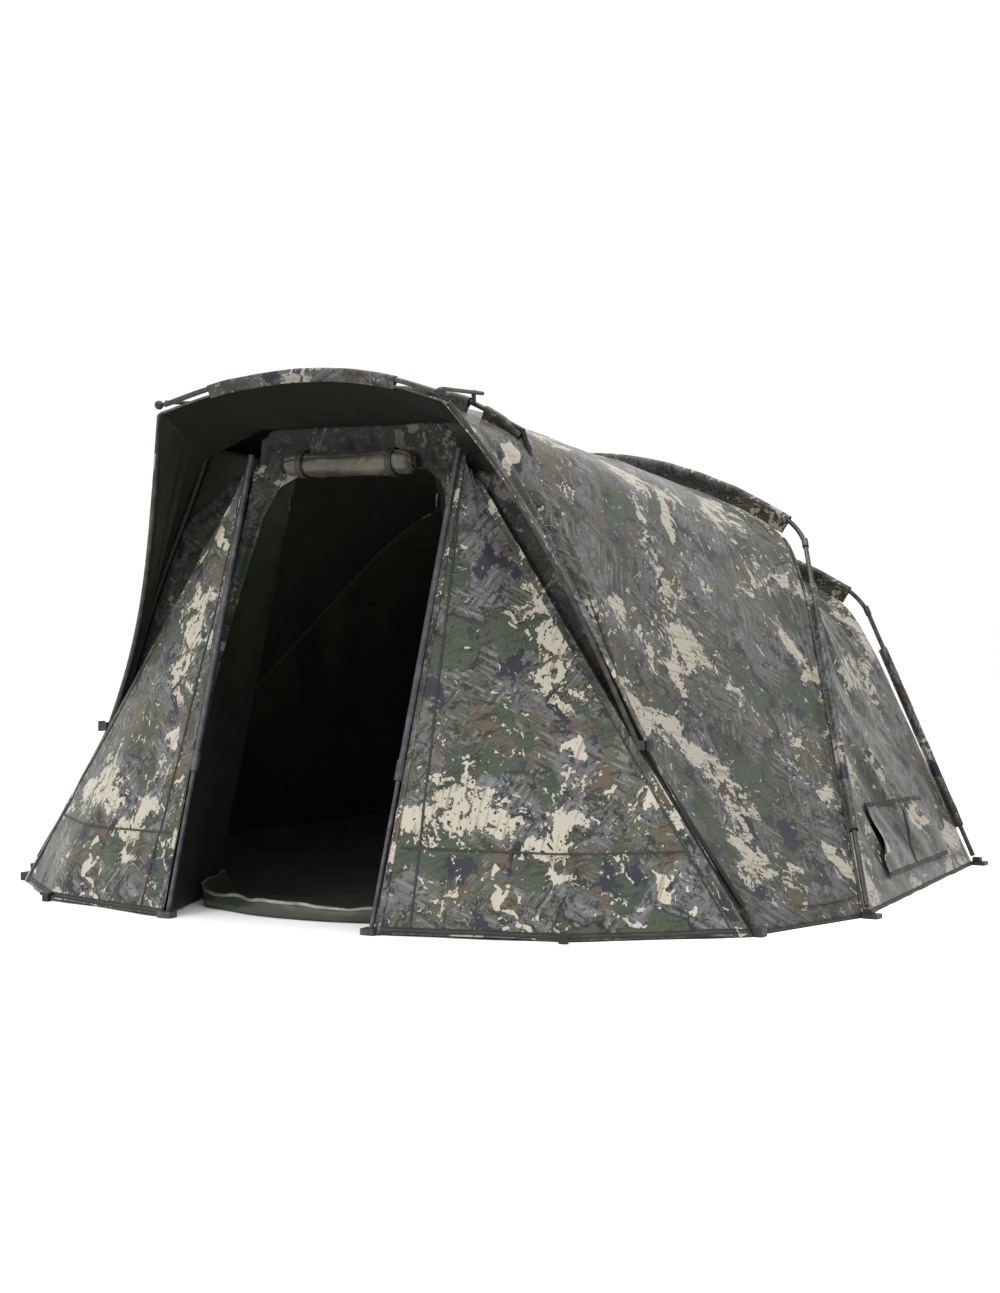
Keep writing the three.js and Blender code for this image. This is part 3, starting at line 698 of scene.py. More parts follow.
def stitched_tape(name, dark, light, rough=0.7, pitch=0.0022, thread=colour(96, 94, 82)):
    """Woven tape with a row of lock stitches near each edge."""
    material, g, shader = new_material(name)
    at = cloth_place(g)
    x, y = g.split(at)[:2]
    rib = weave(g, at, pitch)
    tone = g.noise(at, 12.0, 4.0)
    base = g.mix(g.step(tone, 0.35, 0.65), dark, light)
    base = g.mix(g.mul(rib, 0.3), base, dark)
    dash = g.step(g.math("SINE", g.mul(x, math.tau / 0.0045)), -0.3, 0.1)
    rows = g.math("PINGPONG", y, 0.0045)
    near = g.sub(1.0, g.step(rows, 0.0005, 0.0010))
    stitch = g.mul(dash, near)
    g.feed(shader.inputs["Base Color"], g.mix(stitch, base, thread))
    g.feed(shader.inputs["Roughness"], g.add(rough, g.mul(tone, 0.12)))
    height = g.add(g.mul(rib, 0.3), g.mul(stitch, 0.7))
    bumped(g, shader, height, 0.0005, 0.8)
    return material


def surface_at(g):
    return g.node("ShaderNodeTexCoord").outputs["Object"]


def solid_noise(g, at, scale, detail=3.0, rough=0.5):
    made = g.node(
        "ShaderNodeTexNoise", {"Vector": at, "Scale": scale, "Detail": detail, "Roughness": rough}
    )
    return made.outputs["Fac"]


def alloy(name, dark, light, rough, metallic):
    """Anodised tube: scuffed, with fine grit in the finish."""
    material, g, shader = new_material(name)
    at = surface_at(g)
    scuffs = solid_noise(g, at, 26.0, 6.0, 0.7)
    grit = solid_noise(g, at, 900.0, 2.0)
    base = g.mix(g.step(scuffs, 0.4, 0.7), dark, light)
    g.feed(shader.inputs["Base Color"], g.mix(g.mul(grit, 0.3), base, dark))
    shader.inputs["Metallic"].default_value = metallic
    g.feed(shader.inputs["Roughness"], g.add(rough - 0.1, g.mul(scuffs, 0.25)))
    bumped(g, shader, grit, 0.0001, 0.5)
    return material


def moulded(name, dark, light):
    """Moulded nylon with a spark-eroded grain, paler where it rubs."""
    material, g, shader = new_material(name)
    at = surface_at(g)
    wear = solid_noise(g, at, 40.0, 5.0, 0.65)
    grain = solid_noise(g, at, 1400.0, 2.0)
    g.feed(shader.inputs["Base Color"], g.mix(g.step(wear, 0.5, 0.75), dark, light))
    g.feed(shader.inputs["Roughness"], g.add(0.4, g.mul(wear, 0.3)))
    bumped(g, shader, grain, 0.00015, 0.7)
    return material


camo_print()
CANOPY = camo_cloth("canopy_camo", darken=0.52, rough=0.33, shift=(1.9, 6.4, 0), crinkle=0.0026)
# wing print: the canopy's print made lighter, as painted light on the wings
WING_PAINTED_LIGHT_CLOTH = camo_cloth("wing_camo_painted_light", darken=0.74, shift=(5.2, 3.1, 0), crinkle=0.0020)
SLEEVE_CLOTH = camo_cloth("sleeve_camo", darken=0.40, rough=0.5, shift=(2.6, 8.4, 0))
# hem print: the same print made lighter, a painted highlight along the rolled leading edge and the wing
# edges
HEM_HIGHLIGHT_CLOTH = camo_cloth("hem_camo_painted_highlight", darken=0.70, rough=0.36, shift=(8.8, 1.2, 0))
STRIP_CLOTH = camo_cloth("porch_strip_camo", darken=0.36, rough=0.46, shift=(4.1, 2.6, 0))
# flap print: the same print darkened nearly to black, painted shade for the gap behind the wing's outer
# edge
FLAP_SHADE_CLOTH = camo_cloth("flap_camo_painted_shade", darken=0.18, rough=0.5, shift=(6.3, 9.6, 0))
# header print: the same print darkened nearly to black, painted shade under the hood
HEADER_SHADE_CLOTH = camo_cloth("header_camo_painted_shade", darken=0.13, rough=0.5, shift=(3.3, 5.6, 0))
ROLL_CLOTH = plain_cloth(
    "rolled_door_cloth", colour(46, 44, 34), colour(80, 76, 60), 0.42, 0.0016, 0, 0.5, 0.002
)
LINING = plain_cloth("lining", colour(30, 32, 24), colour(40, 42, 33), 0.62, specular=0.12)
CEILING = plain_cloth("ceiling_lining", colour(20, 20, 16), colour(26, 26, 21), 0.70, specular=0.05)
WALL = plain_cloth("wall_lining", colour(20, 23, 17), colour(32, 36, 28), 0.58, specular=0.08)
GROUND = plain_cloth(
    "groundsheet", colour(34, 35, 31), colour(54, 55, 49), 0.34, 0.0024, 10, 0.5, 0.004
)
SHEETING = plain_cloth(
    "sheeting", colour(40, 47, 36), colour(60, 66, 52), 0.4, 0.0024, 10, 0.5, 0.002
)
# sill lip: pale glossy cloth laid along the lip's crest as a painted highlight
LIP_HIGHLIGHT = plain_cloth("sill_lip_painted_highlight", colour(82, 84, 76), colour(150, 150, 140), 0.34, 0.0022, 60, 0.6, 0.003)
BINDING = stitched_tape("binding", colour(26, 26, 24), colour(44, 43, 38))
WEBBING = stitched_tape("webbing", colour(22, 22, 21), colour(38, 37, 34), 0.65, 0.0028)
MESH_VENT = plain_cloth("mesh_vent", colour(8, 8, 8), colour(38, 38, 36), 0.7, 0.0030)
DARK_ALLOY = alloy("dark_alloy", colour(46, 43, 41), colour(82, 76, 70), 0.5, 0.35)
PALE_ALLOY = alloy("pale_alloy", colour(62, 62, 66), colour(98, 98, 102), 0.40, 0.6)
MOULDING = moulded("moulding", colour(20, 20, 21), colour(44, 44, 44))

NODE_MATERIALS = {
    # main legs near-black as painted shade, so the pole inside the hood sinks into the dark
    "main_leg": alloy("black_alloy_painted_shade", colour(18, 18, 17), colour(32, 31, 29), 0.62, 0.2),
    "storm_pole": PALE_ALLOY,
    "storm_foot": PALE_ALLOY,
    "zip_slider": alloy("zip_metal", colour(34, 34, 36), colour(70, 70, 74), 0.35, 0.8),
    "hub_block": MOULDING,
    "brow_bracket": MOULDING,
    "brow_knuckle": MOULDING,
    "bar_clip": MOULDING,
    "rear_foot": MOULDING,
    "back_foot": MOULDING,
    "wing_peg": MOULDING,
}
BEVELLED = ("hub_block", "brow_bracket", "rear_foot", "back_foot", "wing_peg", "zip_slider")


def dress_nodes():
    """Gives the carried-over frame nodes their finish, and rounds the moulded edges."""
    for name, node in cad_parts.items():
        base = name.removesuffix("_left").removesuffix("_right")
        material = NODE_MATERIALS.get(base, DARK_ALLOY)
        node.data.materials.clear()
        node.data.materials.append(material)
        if base in BEVELLED:
            edge = node.modifiers.new("edge", "BEVEL")
            edge.width = 0.0016
            edge.segments = 2
            edge.limit_method = "ANGLE"
        smooth_by_angle(node)


def smooth_by_angle(node):
    faces = node.data.polygons
    faces.foreach_set("use_smooth", [True] * len(faces))
    node.data.set_sharp_from_angle(angle=math.radians(38))


dress_nodes()

# ---- ribs: the lines that the canopy is stretched over --------------------------------------
LEG_STEPS, ROOF_STEPS = 90, 76
LEG = np.linspace(0, 1, LEG_STEPS + 1)
ROOF = np.linspace(-1, 1, ROOF_STEPS + 1)
MAIN_CORNER_REACH = 9
HOOP_CORNER_REACH = 9
HOOP_CORNER_INSET = 0.052        # the cloth is cut this far in from a hoop's elbow
BROW_LEG_COVER = 0.010


def arch(leg, roof):
    """A whole hoop line: up the left leg, over the roof, down the right leg."""
    left = mirrored(leg, -1)
    right = np.asarray(leg, float)[::-1]
    return np.vstack([left[:-1], roof, right[1:]])


def main_leg(t):
    cover = (-MAIN_LEG_COVER, 0)
    return catmull(
        [
            (HUB_X - 0.012, 0, HEM_LIFT),
            inset(MAIN_MID_LEG, cover),
            inset(MAIN_UPPER_LEG, cover),
            inset(MAIN_SHOULDER, (-0.012, -0.002)),
        ],
        t,
    )


def hoop_cloth(foot, elbow, rise, power):
    """The cloth line of a hoop: under its roof pole, inside its legs, cut in at the elbows."""
    share = ROOF * (1 - HOOP_CORNER_INSET / elbow[0])
    roof = roof_arc(elbow, rise, power, share) - (0, 0, HOOP_INSET[1])
    low = np.array([foot[0] - HOOP_INSET[0], foot[1], HEM_LIFT])
    high = np.array(inset(elbow, HOOP_INSET))
    leg = lerp(low, high, LEG[:, None]) + (roof[-1] - high) * smooth(LEG, 0.80, 1.0)[:, None]
    return softened(arch(leg, roof), HOOP_CORNER_REACH)


main_leg_line = main_leg(LEG)
PIVOT_STEP = int(np.argmin(np.abs(main_leg_line[:, 2] - BROW_PIVOT[2])))


def brow_leg_line():
    """The leading edge: on the main rib up to the brow's pivot, then along the brow leg."""
    free = np.linspace(0, 1, LEG_STEPS - PIVOT_STEP + 1)
    cover = (-BROW_LEG_COVER, 0)
    points = [inset(p, cover) for p in (BROW_PIVOT, BROW_BEND_LOW, BROW_BEND_HIGH)]
    points.append((BROW_KNUCKLE[0] + 0.004, BROW_KNUCKLE[1], BROW_KNUCKLE[2] - BROW_DROP))
    upper = bezier(points, free)
    start = main_leg_line[PIVOT_STEP] + (0, -0.006, 0)
    upper += (start - upper[0]) * (1 - free[:, None]) ** 3
    lower = main_leg_line[:PIVOT_STEP] + (0, -0.006, 0)
    return np.vstack([lower, upper])


def brow_roof_line(drop):
    return catmull(BROW_ROOF, np.linspace(0, 1, ROOF_STEPS + 1)) - (0, 0, drop)


LEADING = arch(brow_leg_line(), brow_roof_line(BROW_DROP))
# The cloth hangs under the main roof pole and closes over the pole at the shoulders.
main_roof = roof_arc(MAIN_SHOULDER, MAIN_RISE, MAIN_POWER, ROOF) - (0, 0, MAIN_ROOF_DROP)
main_roof[:, 2] += (MAIN_ROOF_DROP + 0.008) * smooth(np.abs(ROOF), 0.86, 1.0)
MAIN = softened(arch(main_leg_line, main_roof), MAIN_CORNER_REACH)
REAR = hoop_cloth(REAR_FOOT, REAR_ELBOW, REAR_RISE, REAR_POWER)
BACK = hoop_cloth(BACK_FOOT, BACK_ELBOW, BACK_RISE, BACK_POWER)
BACK_LEG_SHARE = 0.22
hem_share = np.concatenate(
    [
        LEG[:-1] * BACK_LEG_SHARE,
        np.linspace(BACK_LEG_SHARE, 1 - BACK_LEG_SHARE, ROOF_STEPS + 1),
        1 - LEG[::-1][1:] * BACK_LEG_SHARE,
    ]
)
HEM = catmull(BACK_HEM, hem_share) + (0, 0, HEM_LIFT)
RIB_COUNT = len(MAIN)
MIDDLE = RIB_COUNT // 2


def ruled(first, second, steps, start=0.0):
    """Points of the surface stretched straight between two rib lines."""
    v = np.linspace(start, 1, steps + 1)
    return first[:, None, :] + (second - first)[:, None, :] * v[None, :, None], v


def hoop_places(grid):
    """Flat pattern places on a bay: round the hoop from the ridge, and back along the shelter."""
    steps = np.hypot(*np.moveaxis(np.diff(grid[..., [0, 2]], axis=0), 2, 0))
    run = np.concatenate([np.zeros((1, grid.shape[1])), np.cumsum(steps, axis=0)])
    run -= run[grid.shape[0] // 2]
    return np.stack([run, grid[..., 1]], axis=2)


def edge_fade(v, near=0.12):
    return smooth(v, 0, near) * smooth(1 - v, 0, near)


def pushed(grid, heights):
    return grid + grid_normals(grid) * heights[..., None]


def hem_calm(grid):
    """Small near the ground, where the hem pulls a bay's cloth straight."""
    return 0.12 + 0.88 * smooth(grid[..., 2], 0.02, 0.30)


# ---- canopy, front part: hood and main bay --------------------------------------------------
HOOD_STEPS, MAIN_BAY_STEPS, REAR_BAY_STEPS, WALL_STEPS = 30, 92, 56, 70

hood_rows = slice(PIVOT_STEP, RIB_COUNT - PIVOT_STEP)
hood_grid, hood_v = ruled(LEADING[hood_rows], MAIN[hood_rows], HOOD_STEPS)
hood_at = hoop_places(hood_grid)
bay_grid, bay_v = ruled(MAIN, REAR, MAIN_BAY_STEPS)
bay_at = hoop_places(bay_grid)


def hood_heights():
    """Pleats that run down the hood's sides, and a slack roof between brow and main rib."""
    fade = edge_fade(hood_v, 0.2)[None, :]
    side = np.abs(hood_at[..., 0])
    pleats = ripple(hood_v[None, :] * 9 + side * 0.4, side * 1.1 + 3, 11)
    pleats = pleats * 0.008 * smooth(side, 0.45, 0.8)
    waves = fold(hood_at, 20, 0.5, 0.14, 12) * 0.004
    sag = -0.014 * 4 * hood_v * (1 - hood_v)
    return (pleats + waves) * fade + sag[None, :]


def bay_heights(at, v, seed, sag):
    """Taut cloth, hollow at the sides and full at the roof, with slow waves and sewn puckers."""
    fade = edge_fade(v)[None, :]
    waves = fold(at, 62, 0.75, 0.22, seed) * 0.0120
    waves = waves + fold(at, -38, 0.5, 0.12, seed + 1) * 0.0070
    waves = waves + fold(at, 80, 0.22, 0.05, seed + 2) * 0.0016
    waves = waves + fold(at, 10, 0.12, 0.04, seed + 3) * 0.0009
    near_seam = np.exp(-np.minimum(v, 1 - v) / 0.05)[None, :]
    puckers = ripple(at[..., 0] / 0.035, at[..., 1] / 0.16 + 5, seed + 4) * 0.0022
    side = smooth(np.abs(at[..., 0]), 0.45, 0.95)
    hollow = -sag * (4 * v * (1 - v))[None, :] * (1.9 * side - 0.9)
    sewn = near_seam * (smooth(v, 0, 0.01) * smooth(1 - v, 0, 0.01))[None, :]
    return waves * fade + puckers * sewn + hollow


hood_grid = pushed(hood_grid, hood_heights())
bay_grid = pushed(bay_grid, bay_heights(bay_at, bay_v, 21, 0.016) * hem_calm(bay_grid))

OUTSIDE_ABOVE = (0.0, 0.8, 9.0)
canopy_front = cloth(
    "canopy_front",
    [hood_grid, bay_grid],
    [hood_at, bay_at],
    [CANOPY, LINING],
    OUTSIDE_ABOVE,
    weights=[np.broadcast_to(1 - hood_v, hood_grid.shape[:2]), np.zeros(bay_grid.shape[:2])],
)
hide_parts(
    "hood_roof", "hood_side_left", "hood_side_right",
    "main_bay_roof", "main_bay_side_left", "main_bay_side_right",
)

# ---- canopy, rear part: rear bay and back wall ----------------------------------------------
rear_grid, rear_v = ruled(REAR, BACK, REAR_BAY_STEPS)
rear_at = hoop_places(rear_grid)
wall_grid, wall_v = ruled(BACK, HEM, WALL_STEPS)
wall_run = np.linalg.norm(HEM - BACK, axis=1)[:, None] * wall_v[None, :]
hem_place = run_length(HEM) - run_length(HEM)[MIDDLE]
wall_across = lerp(rear_at[:, -1, 0][:, None], hem_place[:, None], wall_v[None, :])
wall_at = np.stack([wall_across, rear_at[:, -1, 1][:, None] + wall_run], axis=2)


def rear_heights():
    """The rear bay is slacker: many creases run down and forwards from the back hoop."""
    fade = edge_fade(rear_v, 0.16)[None, :]
    lean = np.sign(rear_at[..., :1])
    turned = rear_at * np.concatenate([lean, np.ones_like(lean)], axis=2)
    creases = fold(turned, 32, 0.42, 0.085, 31) * 0.0190
    creases = creases + fold(turned, 46, 0.25, 0.042, 32) * 0.0110
    creases = creases + fold(turned, 18, 0.30, 0.026, 34) * 0.0034
    creases = creases + fold(turned, -20, 0.5, 0.16, 33) * 0.006
    corner = np.abs(rear_at[LEG_STEPS, 0, 0])
    depth = 0.024 + 0.050 * np.exp(-(((np.abs(rear_at[:, :1, 0]) - corner) / 0.20) ** 2))
    hollow = -depth * (4 * rear_v * (1 - rear_v))[None, :] ** 0.7
    return creases * fade + hollow


def wall_heights():
    fade = edge_fade(wall_v, 0.1)[None, :] * smooth(wall_run[:, -1], 0.05, 0.4)[:, None]
    folds_down = fold(wall_at, 88, 0.6, 0.09, 41) * 0.006
    folds_down = folds_down + fold(wall_at, 60, 0.4, 0.16, 42) * 0.007
    return folds_down * fade


rear_grid = pushed(rear_grid, rear_heights() * hem_calm(rear_grid))
wall_grid = pushed(wall_grid, wall_heights())
rear_weight = rear_v[None, :] ** (1 + 4 * (1 - smooth(rear_grid[..., 2], 0, 0.7)))
canopy_rear = cloth(
    "canopy_rear",
    [rear_grid, wall_grid],
    [rear_at, wall_at],
    [CANOPY, LINING],
    OUTSIDE_ABOVE,
    weights=[rear_weight, np.broadcast_to(1 - smooth(wall_v), wall_grid.shape[:2])],
)
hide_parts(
    "rear_bay_roof", "rear_bay_side_left", "rear_bay_side_right", "back_wall"
)

# ---- wings ----------------------------------------------------------------------------------
WING_ROWS, WING_COLS = 110, 84


def wing_lines(sign):
    """The wing's top edge and its hem, both from the outer edge to the storm pole."""
    share = np.linspace(0, 1, WING_COLS + 1)
    hub_end = np.array([HUB_X - 0.002, -0.026, HEM_LIFT])
    peg = np.array([WING_PEG[0], WING_PEG[1], HEM_LIFT])
    pole_end = np.array([STORM_FOOT[0] + 0.014, STORM_FOOT[1] - 0.004, HEM_LIFT])
    hem = softened(resampled([hub_end, peg, pole_end], WING_COLS + 1), 5)
    outer_top = np.array([STORM_TOP[0] + 0.030, STORM_TOP[1] + 0.006, WING_TOP_Z - 0.050])
    inner_top = np.array([STORM_TOP[0] + 0.012, STORM_TOP[1] - 0.004, WING_TOP_Z])
    top = lerp(outer_top, inner_top, share[:, None])
    return mirrored(top, sign), mirrored(hem, sign)


wings = {}
for side, sign in SIDES.items():
    top, hem = wing_lines(sign)
    drop = np.linspace(0, 1, WING_ROWS + 1)
    grid = top[None] + (hem - top)[None] * drop[:, None, None]
    at = plane_places(grid)
    across = np.linspace(0, 1, WING_COLS + 1)
    fade = smooth(drop, 0, 0.15)[:, None] * edge_fade(across, 0.1)[None, :]
    waves = fold(at, 72 * sign, 0.6, 0.15, 51 + sign) * 0.008
    waves = waves + fold(at, 60 * sign, 0.4, 0.055, 54 + sign) * 0.0036
    waves = waves + fold(at, -35 * sign, 0.3, 0.08, 57 + sign) * 0.003
    hollow = -0.016 * (4 * across * (1 - across))[None, :] * (drop * (1 - drop) * 4)[:, None]
    normals_out = grid_normals(grid)
    facing = -np.sign(normals_out[..., 1].mean())
    grid = pushed(grid, (waves * fade + hollow) * facing)
    # the wing's print is lighter than the canopy's: painted light
    wing = cloth(f"wing_cloth_{side}", [grid], [at], [WING_PAINTED_LIGHT_CLOTH, LINING], (sign * 3, -5, 0.5))
    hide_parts(f"wing_{side}")
    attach(wing, "frame")
    wings[side] = (wing, grid, grid_normals(grid) * facing)

    # the storm flap behind the wing's outer edge, turned back towards the main rib; its print is darkened
    # nearly to black as painted shade for the shadowed gap there
    edge = grid[:, 0] + (0, 0.004, 0)
    leg_x = np.interp(edge[:, 2], main_leg_line[:, 2], main_leg_line[:, 0]) - 0.016
    reach = np.maximum(leg_x - sign * edge[:, 0], 0.008)
    reach = reach * (1 - 0.6 * smooth(edge[:, 2], 1.15, 1.30))
    share = np.linspace(0, 1, 17)
    strip = np.repeat(edge[:, None], len(share), axis=1)
    strip[..., 0] += sign * reach[:, None] * share
    strip[..., 1] += (FRONT_WALL_Y - 0.008 - edge[:, 1])[:, None] * share**0.35
    storm_flap = cloth(
        f"wing_storm_flap_{side}", [strip], [plane_places(strip, 2.1)], [FLAP_SHADE_CLOTH, LINING],
        (sign * 3, -5, 0.5),
    )
    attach(storm_flap, "frame")

# ---- inner front wall, header and rolled door -----------------------------------------------
door_edges = {}
for side, sign in SIDES.items():
    rise = np.linspace(0, 1, 91)
    outer = main_leg(rise) + (-0.012, FRONT_WALL_Y, 0.004)
    inner = lerp(
        np.array([DOOR_BOTTOM_HALF, FRONT_WALL_Y, 0.010]),
        np.array([DOOR_TOP_HALF, FRONT_WALL_Y, DOOR_TOP_Z + 0.03]),
        rise[:, None],
    )
    grid, v = ruled(mirrored(outer, sign), mirrored(inner, sign), 40)
    at = plane_places(grid)
    pleats = fold(at, 90, 0.9, 0.045, 61 + sign) * 0.007 + fold(at, 90, 0.6, 0.10, 63 + sign) * 0.005
    pleats = pleats * (smooth(v, 0.25, 0.45) * smooth(1 - v, 0, 0.12))[None, :]
    grid = grid + np.stack([0 * pleats, -pleats, 0 * pleats], axis=2)
    wall = cloth(f"front_wall_cloth_{side}", [grid], [at], [LINING], (0, -5, 0.6))
    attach(wall, "frame")
    door_edges[side] = mirrored(inner, sign)


def porch_line(sign, rise):
    """The line just behind the storm pole that the porch side is sewn to."""
    low = np.array([STORM_FOOT[0] + 0.016, STORM_FOOT[1] + 0.020, 0.010])
    high = np.array([STORM_TOP[0] - 0.004, STORM_TOP[1] + 0.010, 1.345])
    return mirrored(lerp(low, high, rise[:, None]), sign)


# Porch sides: dark cloth from each storm pole back to the edge of the doorway, with a strip of
# camouflage cloth along the pole that widens into a gather where it meets the rolled door.
STRIP_HEIGHTS = (0.00, 0.25, 0.50, 0.62, 0.75, 0.88, 0.955, 1.00)
STRIP_WIDTHS = (0.010, 0.012, 0.020, 0.034, 0.048, 0.058, 0.090, 0.170)
for side, sign in SIDES.items():
    rise = np.linspace(0, 1, 91)
    pole_line = porch_line(sign, rise)
    grid, v = ruled(pole_line, door_edges[side], 30)
    at = plane_places(grid)
    waves = fold(at, 96, 0.9, 0.07, 65 + sign) * 0.004 * edge_fade(v, 0.15)[None, :]
    grid = grid + grid_normals(grid) * waves[..., None]
    porch = cloth(f"porch_side_{side}", [grid], [at], [WALL], (0, -5, 0.6))
    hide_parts(f"front_wall_{side}")
    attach(porch, "frame")
    width = np.interp(rise, STRIP_HEIGHTS, STRIP_WIDTHS)
    towards_door = unit(door_edges[side] - pole_line)
    share = np.linspace(0, 1, 15)
    strip = pole_line[:, None] + towards_door[:, None] * (width[:, None] * share)[..., None]
    gather = ripple(share[None, :] * 5 + 2, rise[:, None] * 7, 67 + sign) * 0.004
    gather = gather * smooth(rise, 0.3, 0.8)[:, None]
    ruched = ripple(share[None, :] * 3 + 6, rise[:, None] * 60, 69 + sign) * 0.007
    gather = gather + ruched * smooth(rise, 0.86, 0.96)[:, None]
    strip = strip + np.array([-sign * 0.5, -0.8, 0]) * (0.006 + gather)[..., None]
    flap = cloth(
        f"porch_strip_{side}", [strip], [plane_places(strip, 1.3)], [STRIP_CLOTH, LINING],
        (0, -5, 0.6),
    )
    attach(flap, "frame")

# The door header's print is darkened as painted shade for the shade under the hood.
HEADER_HALF, HEADER_LOW, HEADER_HIGH = 0.345, 1.316, 1.452
header_x = np.linspace(-1, 1, 150)
header_up = np.linspace(0, 1, 20)
sx, sz = np.meshgrid(header_x, header_up, indexing="ij")
end_drop = smooth(np.abs(sx), 0.80, 1.0)
gx = sx * lerp(HEADER_HALF, HEADER_HALF + 0.022, 1 - sz)
gz = lerp(HEADER_LOW - 0.055 * end_drop, HEADER_HIGH - 0.030 * end_drop**2, sz)
ruche = 0.004 + 0.006 * smooth(np.abs(sx), 0.7, 0.95)
gy = -0.022 + ruche * ripple(gx / 0.030 + sz * 2, gz / 0.10, 71) - 0.006 * smooth(sz, 0.6, 1.0)
header_grid = np.stack([gx, gy, gz], axis=2)
header = cloth(
    "door_header_cloth", [header_grid], [plane_places(header_grid)], [HEADER_SHADE_CLOTH, LINING],
    (0, -5, 1.4),
)
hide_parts("door_header")
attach(header, "frame")

# The ceiling: dark cloth that closes the hood from the brow back to the header.
brow_line = LEADING[LEG_STEPS : LEG_STEPS + ROOF_STEPS + 1] - (0, -0.004, 0.004)
ceiling_back = resampled(
    [(-0.545, -0.012, 1.375), (-HEADER_HALF, -0.026, HEADER_HIGH),
     (HEADER_HALF, -0.026, HEADER_HIGH), (0.545, -0.012, 1.375)],
    ROOF_STEPS + 1,
)
ceiling_grid, ceiling_v = ruled(brow_line, ceiling_back, 30)
ceiling_sag = -0.012 * 4 * ceiling_v * (1 - ceiling_v)
ceiling_waves = fold(ceiling_grid[..., :2], 80, 0.5, 0.09, 75) * 0.004 * edge_fade(ceiling_v)
ceiling_grid = ceiling_grid + np.stack(
    [0 * ceiling_waves, 0 * ceiling_waves, ceiling_waves + ceiling_sag], axis=2
)
ceiling = cloth(
    "hood_ceiling", [ceiling_grid], [ceiling_grid[..., :2]], [CEILING], (0, -0.2, -9),
    weights=[np.broadcast_to(1 - ceiling_v, ceiling_grid.shape[:2])],
)


def door_roll():
    """The door, rolled up: slack turns of cloth, cinched at the straps, bunched at the ends."""
    along = np.linspace(-1, 1, 240)
    turn = np.linspace(0, 2 * math.pi, 64, endpoint=False)
    s, a = np.meshgrid(along, turn, indexing="ij")
    x = s * ROLL_HALF_LENGTH
    bunch = smooth(np.abs(x), STRAP_X + 0.010, ROLL_HALF_LENGTH)
    crown = 1 - np.clip((np.abs(s) - 0.93) / 0.07, 0, 1) ** 2.2 * 0.45
    cinch = 1 - 0.16 * np.exp(-(((np.abs(x) - STRAP_X) / 0.014) ** 2))
    creases = ripple(s * 2.6 + a * 0.7, np.cos(a) * 2.3 + 9, 81) * 0.0038
    creases = creases + ripple(s * 13 + a * 1.5, np.sin(a) * 2.0 + 4, 82) * 0.0018
    pleats = ripple(s * 3 + 2, a * 3.2 / math.pi + 11, 83) * 0.007 * bunch
    overlap = 0.005 * smooth(np.mod(a - 2.4 + 0.22 * s, 2 * math.pi), 0, 0.30) - 0.005
    radius = ROLL_RADIUS * 0.95 * crown * cinch * (1 - 0.12 * bunch) + creases + pleats + overlap
    y = ROLL_CENTRE[1] + np.cos(a) * radius
    z = ROLL_CENTRE[2] + np.sin(a) * radius * 0.94 - 0.007 * (1 - s * s) - 0.008 * bunch
    grid = np.stack([x, y, z], axis=2)
    at = np.stack([x + 0.6, a * ROLL_RADIUS], axis=2)
    vertices, ats = [grid.reshape(-1, 3)], [at.reshape(-1, 2)]
    faces = grid_faces(len(along), len(turn), wrap=True)
    for end, base in ((0, 0), (len(along) - 1, (len(along) - 1) * len(turn))):
        last = np.arange(len(turn)) + base
        for ring in (0.75, 0.5, 0.25, 0.05):
            centre = grid[end].mean(0)
            dish = (0.006 if end else -0.006) * (1 - ring) * math.cos(ring * 18)
            points = centre + (grid[end] - centre) * ring + (dish, 0, 0)
            start = sum(len(v) for v in vertices)
            vertices.append(points)
            ats.append(at[end] * (1, ring))
            here = np.arange(len(turn)) + start
            after = np.roll(np.arange(len(turn)), -1)
            quads = np.stack([last, here, here[after], last[after]], axis=1)
            faces += (quads if end == 0 else quads[:, ::-1]).tolist()
            last = here
        faces.append((last if end else last[::-1]).tolist())
    return new_object("rolled_door", np.vstack(vertices), faces, [ROLL_CLOTH], np.vstack(ats))


roll = door_roll()
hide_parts("door_roll")
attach(roll, "frame")

for side, sign in SIDES.items():
    a = np.linspace(0.36, 2.64, 60) * math.pi
    loop = np.stack(
        [
            np.full_like(a, sign * STRAP_X),
            ROLL_CENTRE[1] + np.sin(a) * -(ROLL_RADIUS * 0.93 + 0.002),
            ROLL_CENTRE[2] - 0.004 + np.cos(a) * (ROLL_RADIUS * 0.93 + 0.002),
        ],
        axis=1,
    )
    outward = loop - np.array([sign * STRAP_X, ROLL_CENTRE[1], ROLL_CENTRE[2]])
    strap = band(f"roll_strap_{side}_web", loop, outward, 0.020, WEBBING, 0.001, 0.0014)
    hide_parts(f"roll_strap_{side}")
    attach(strap, "frame")

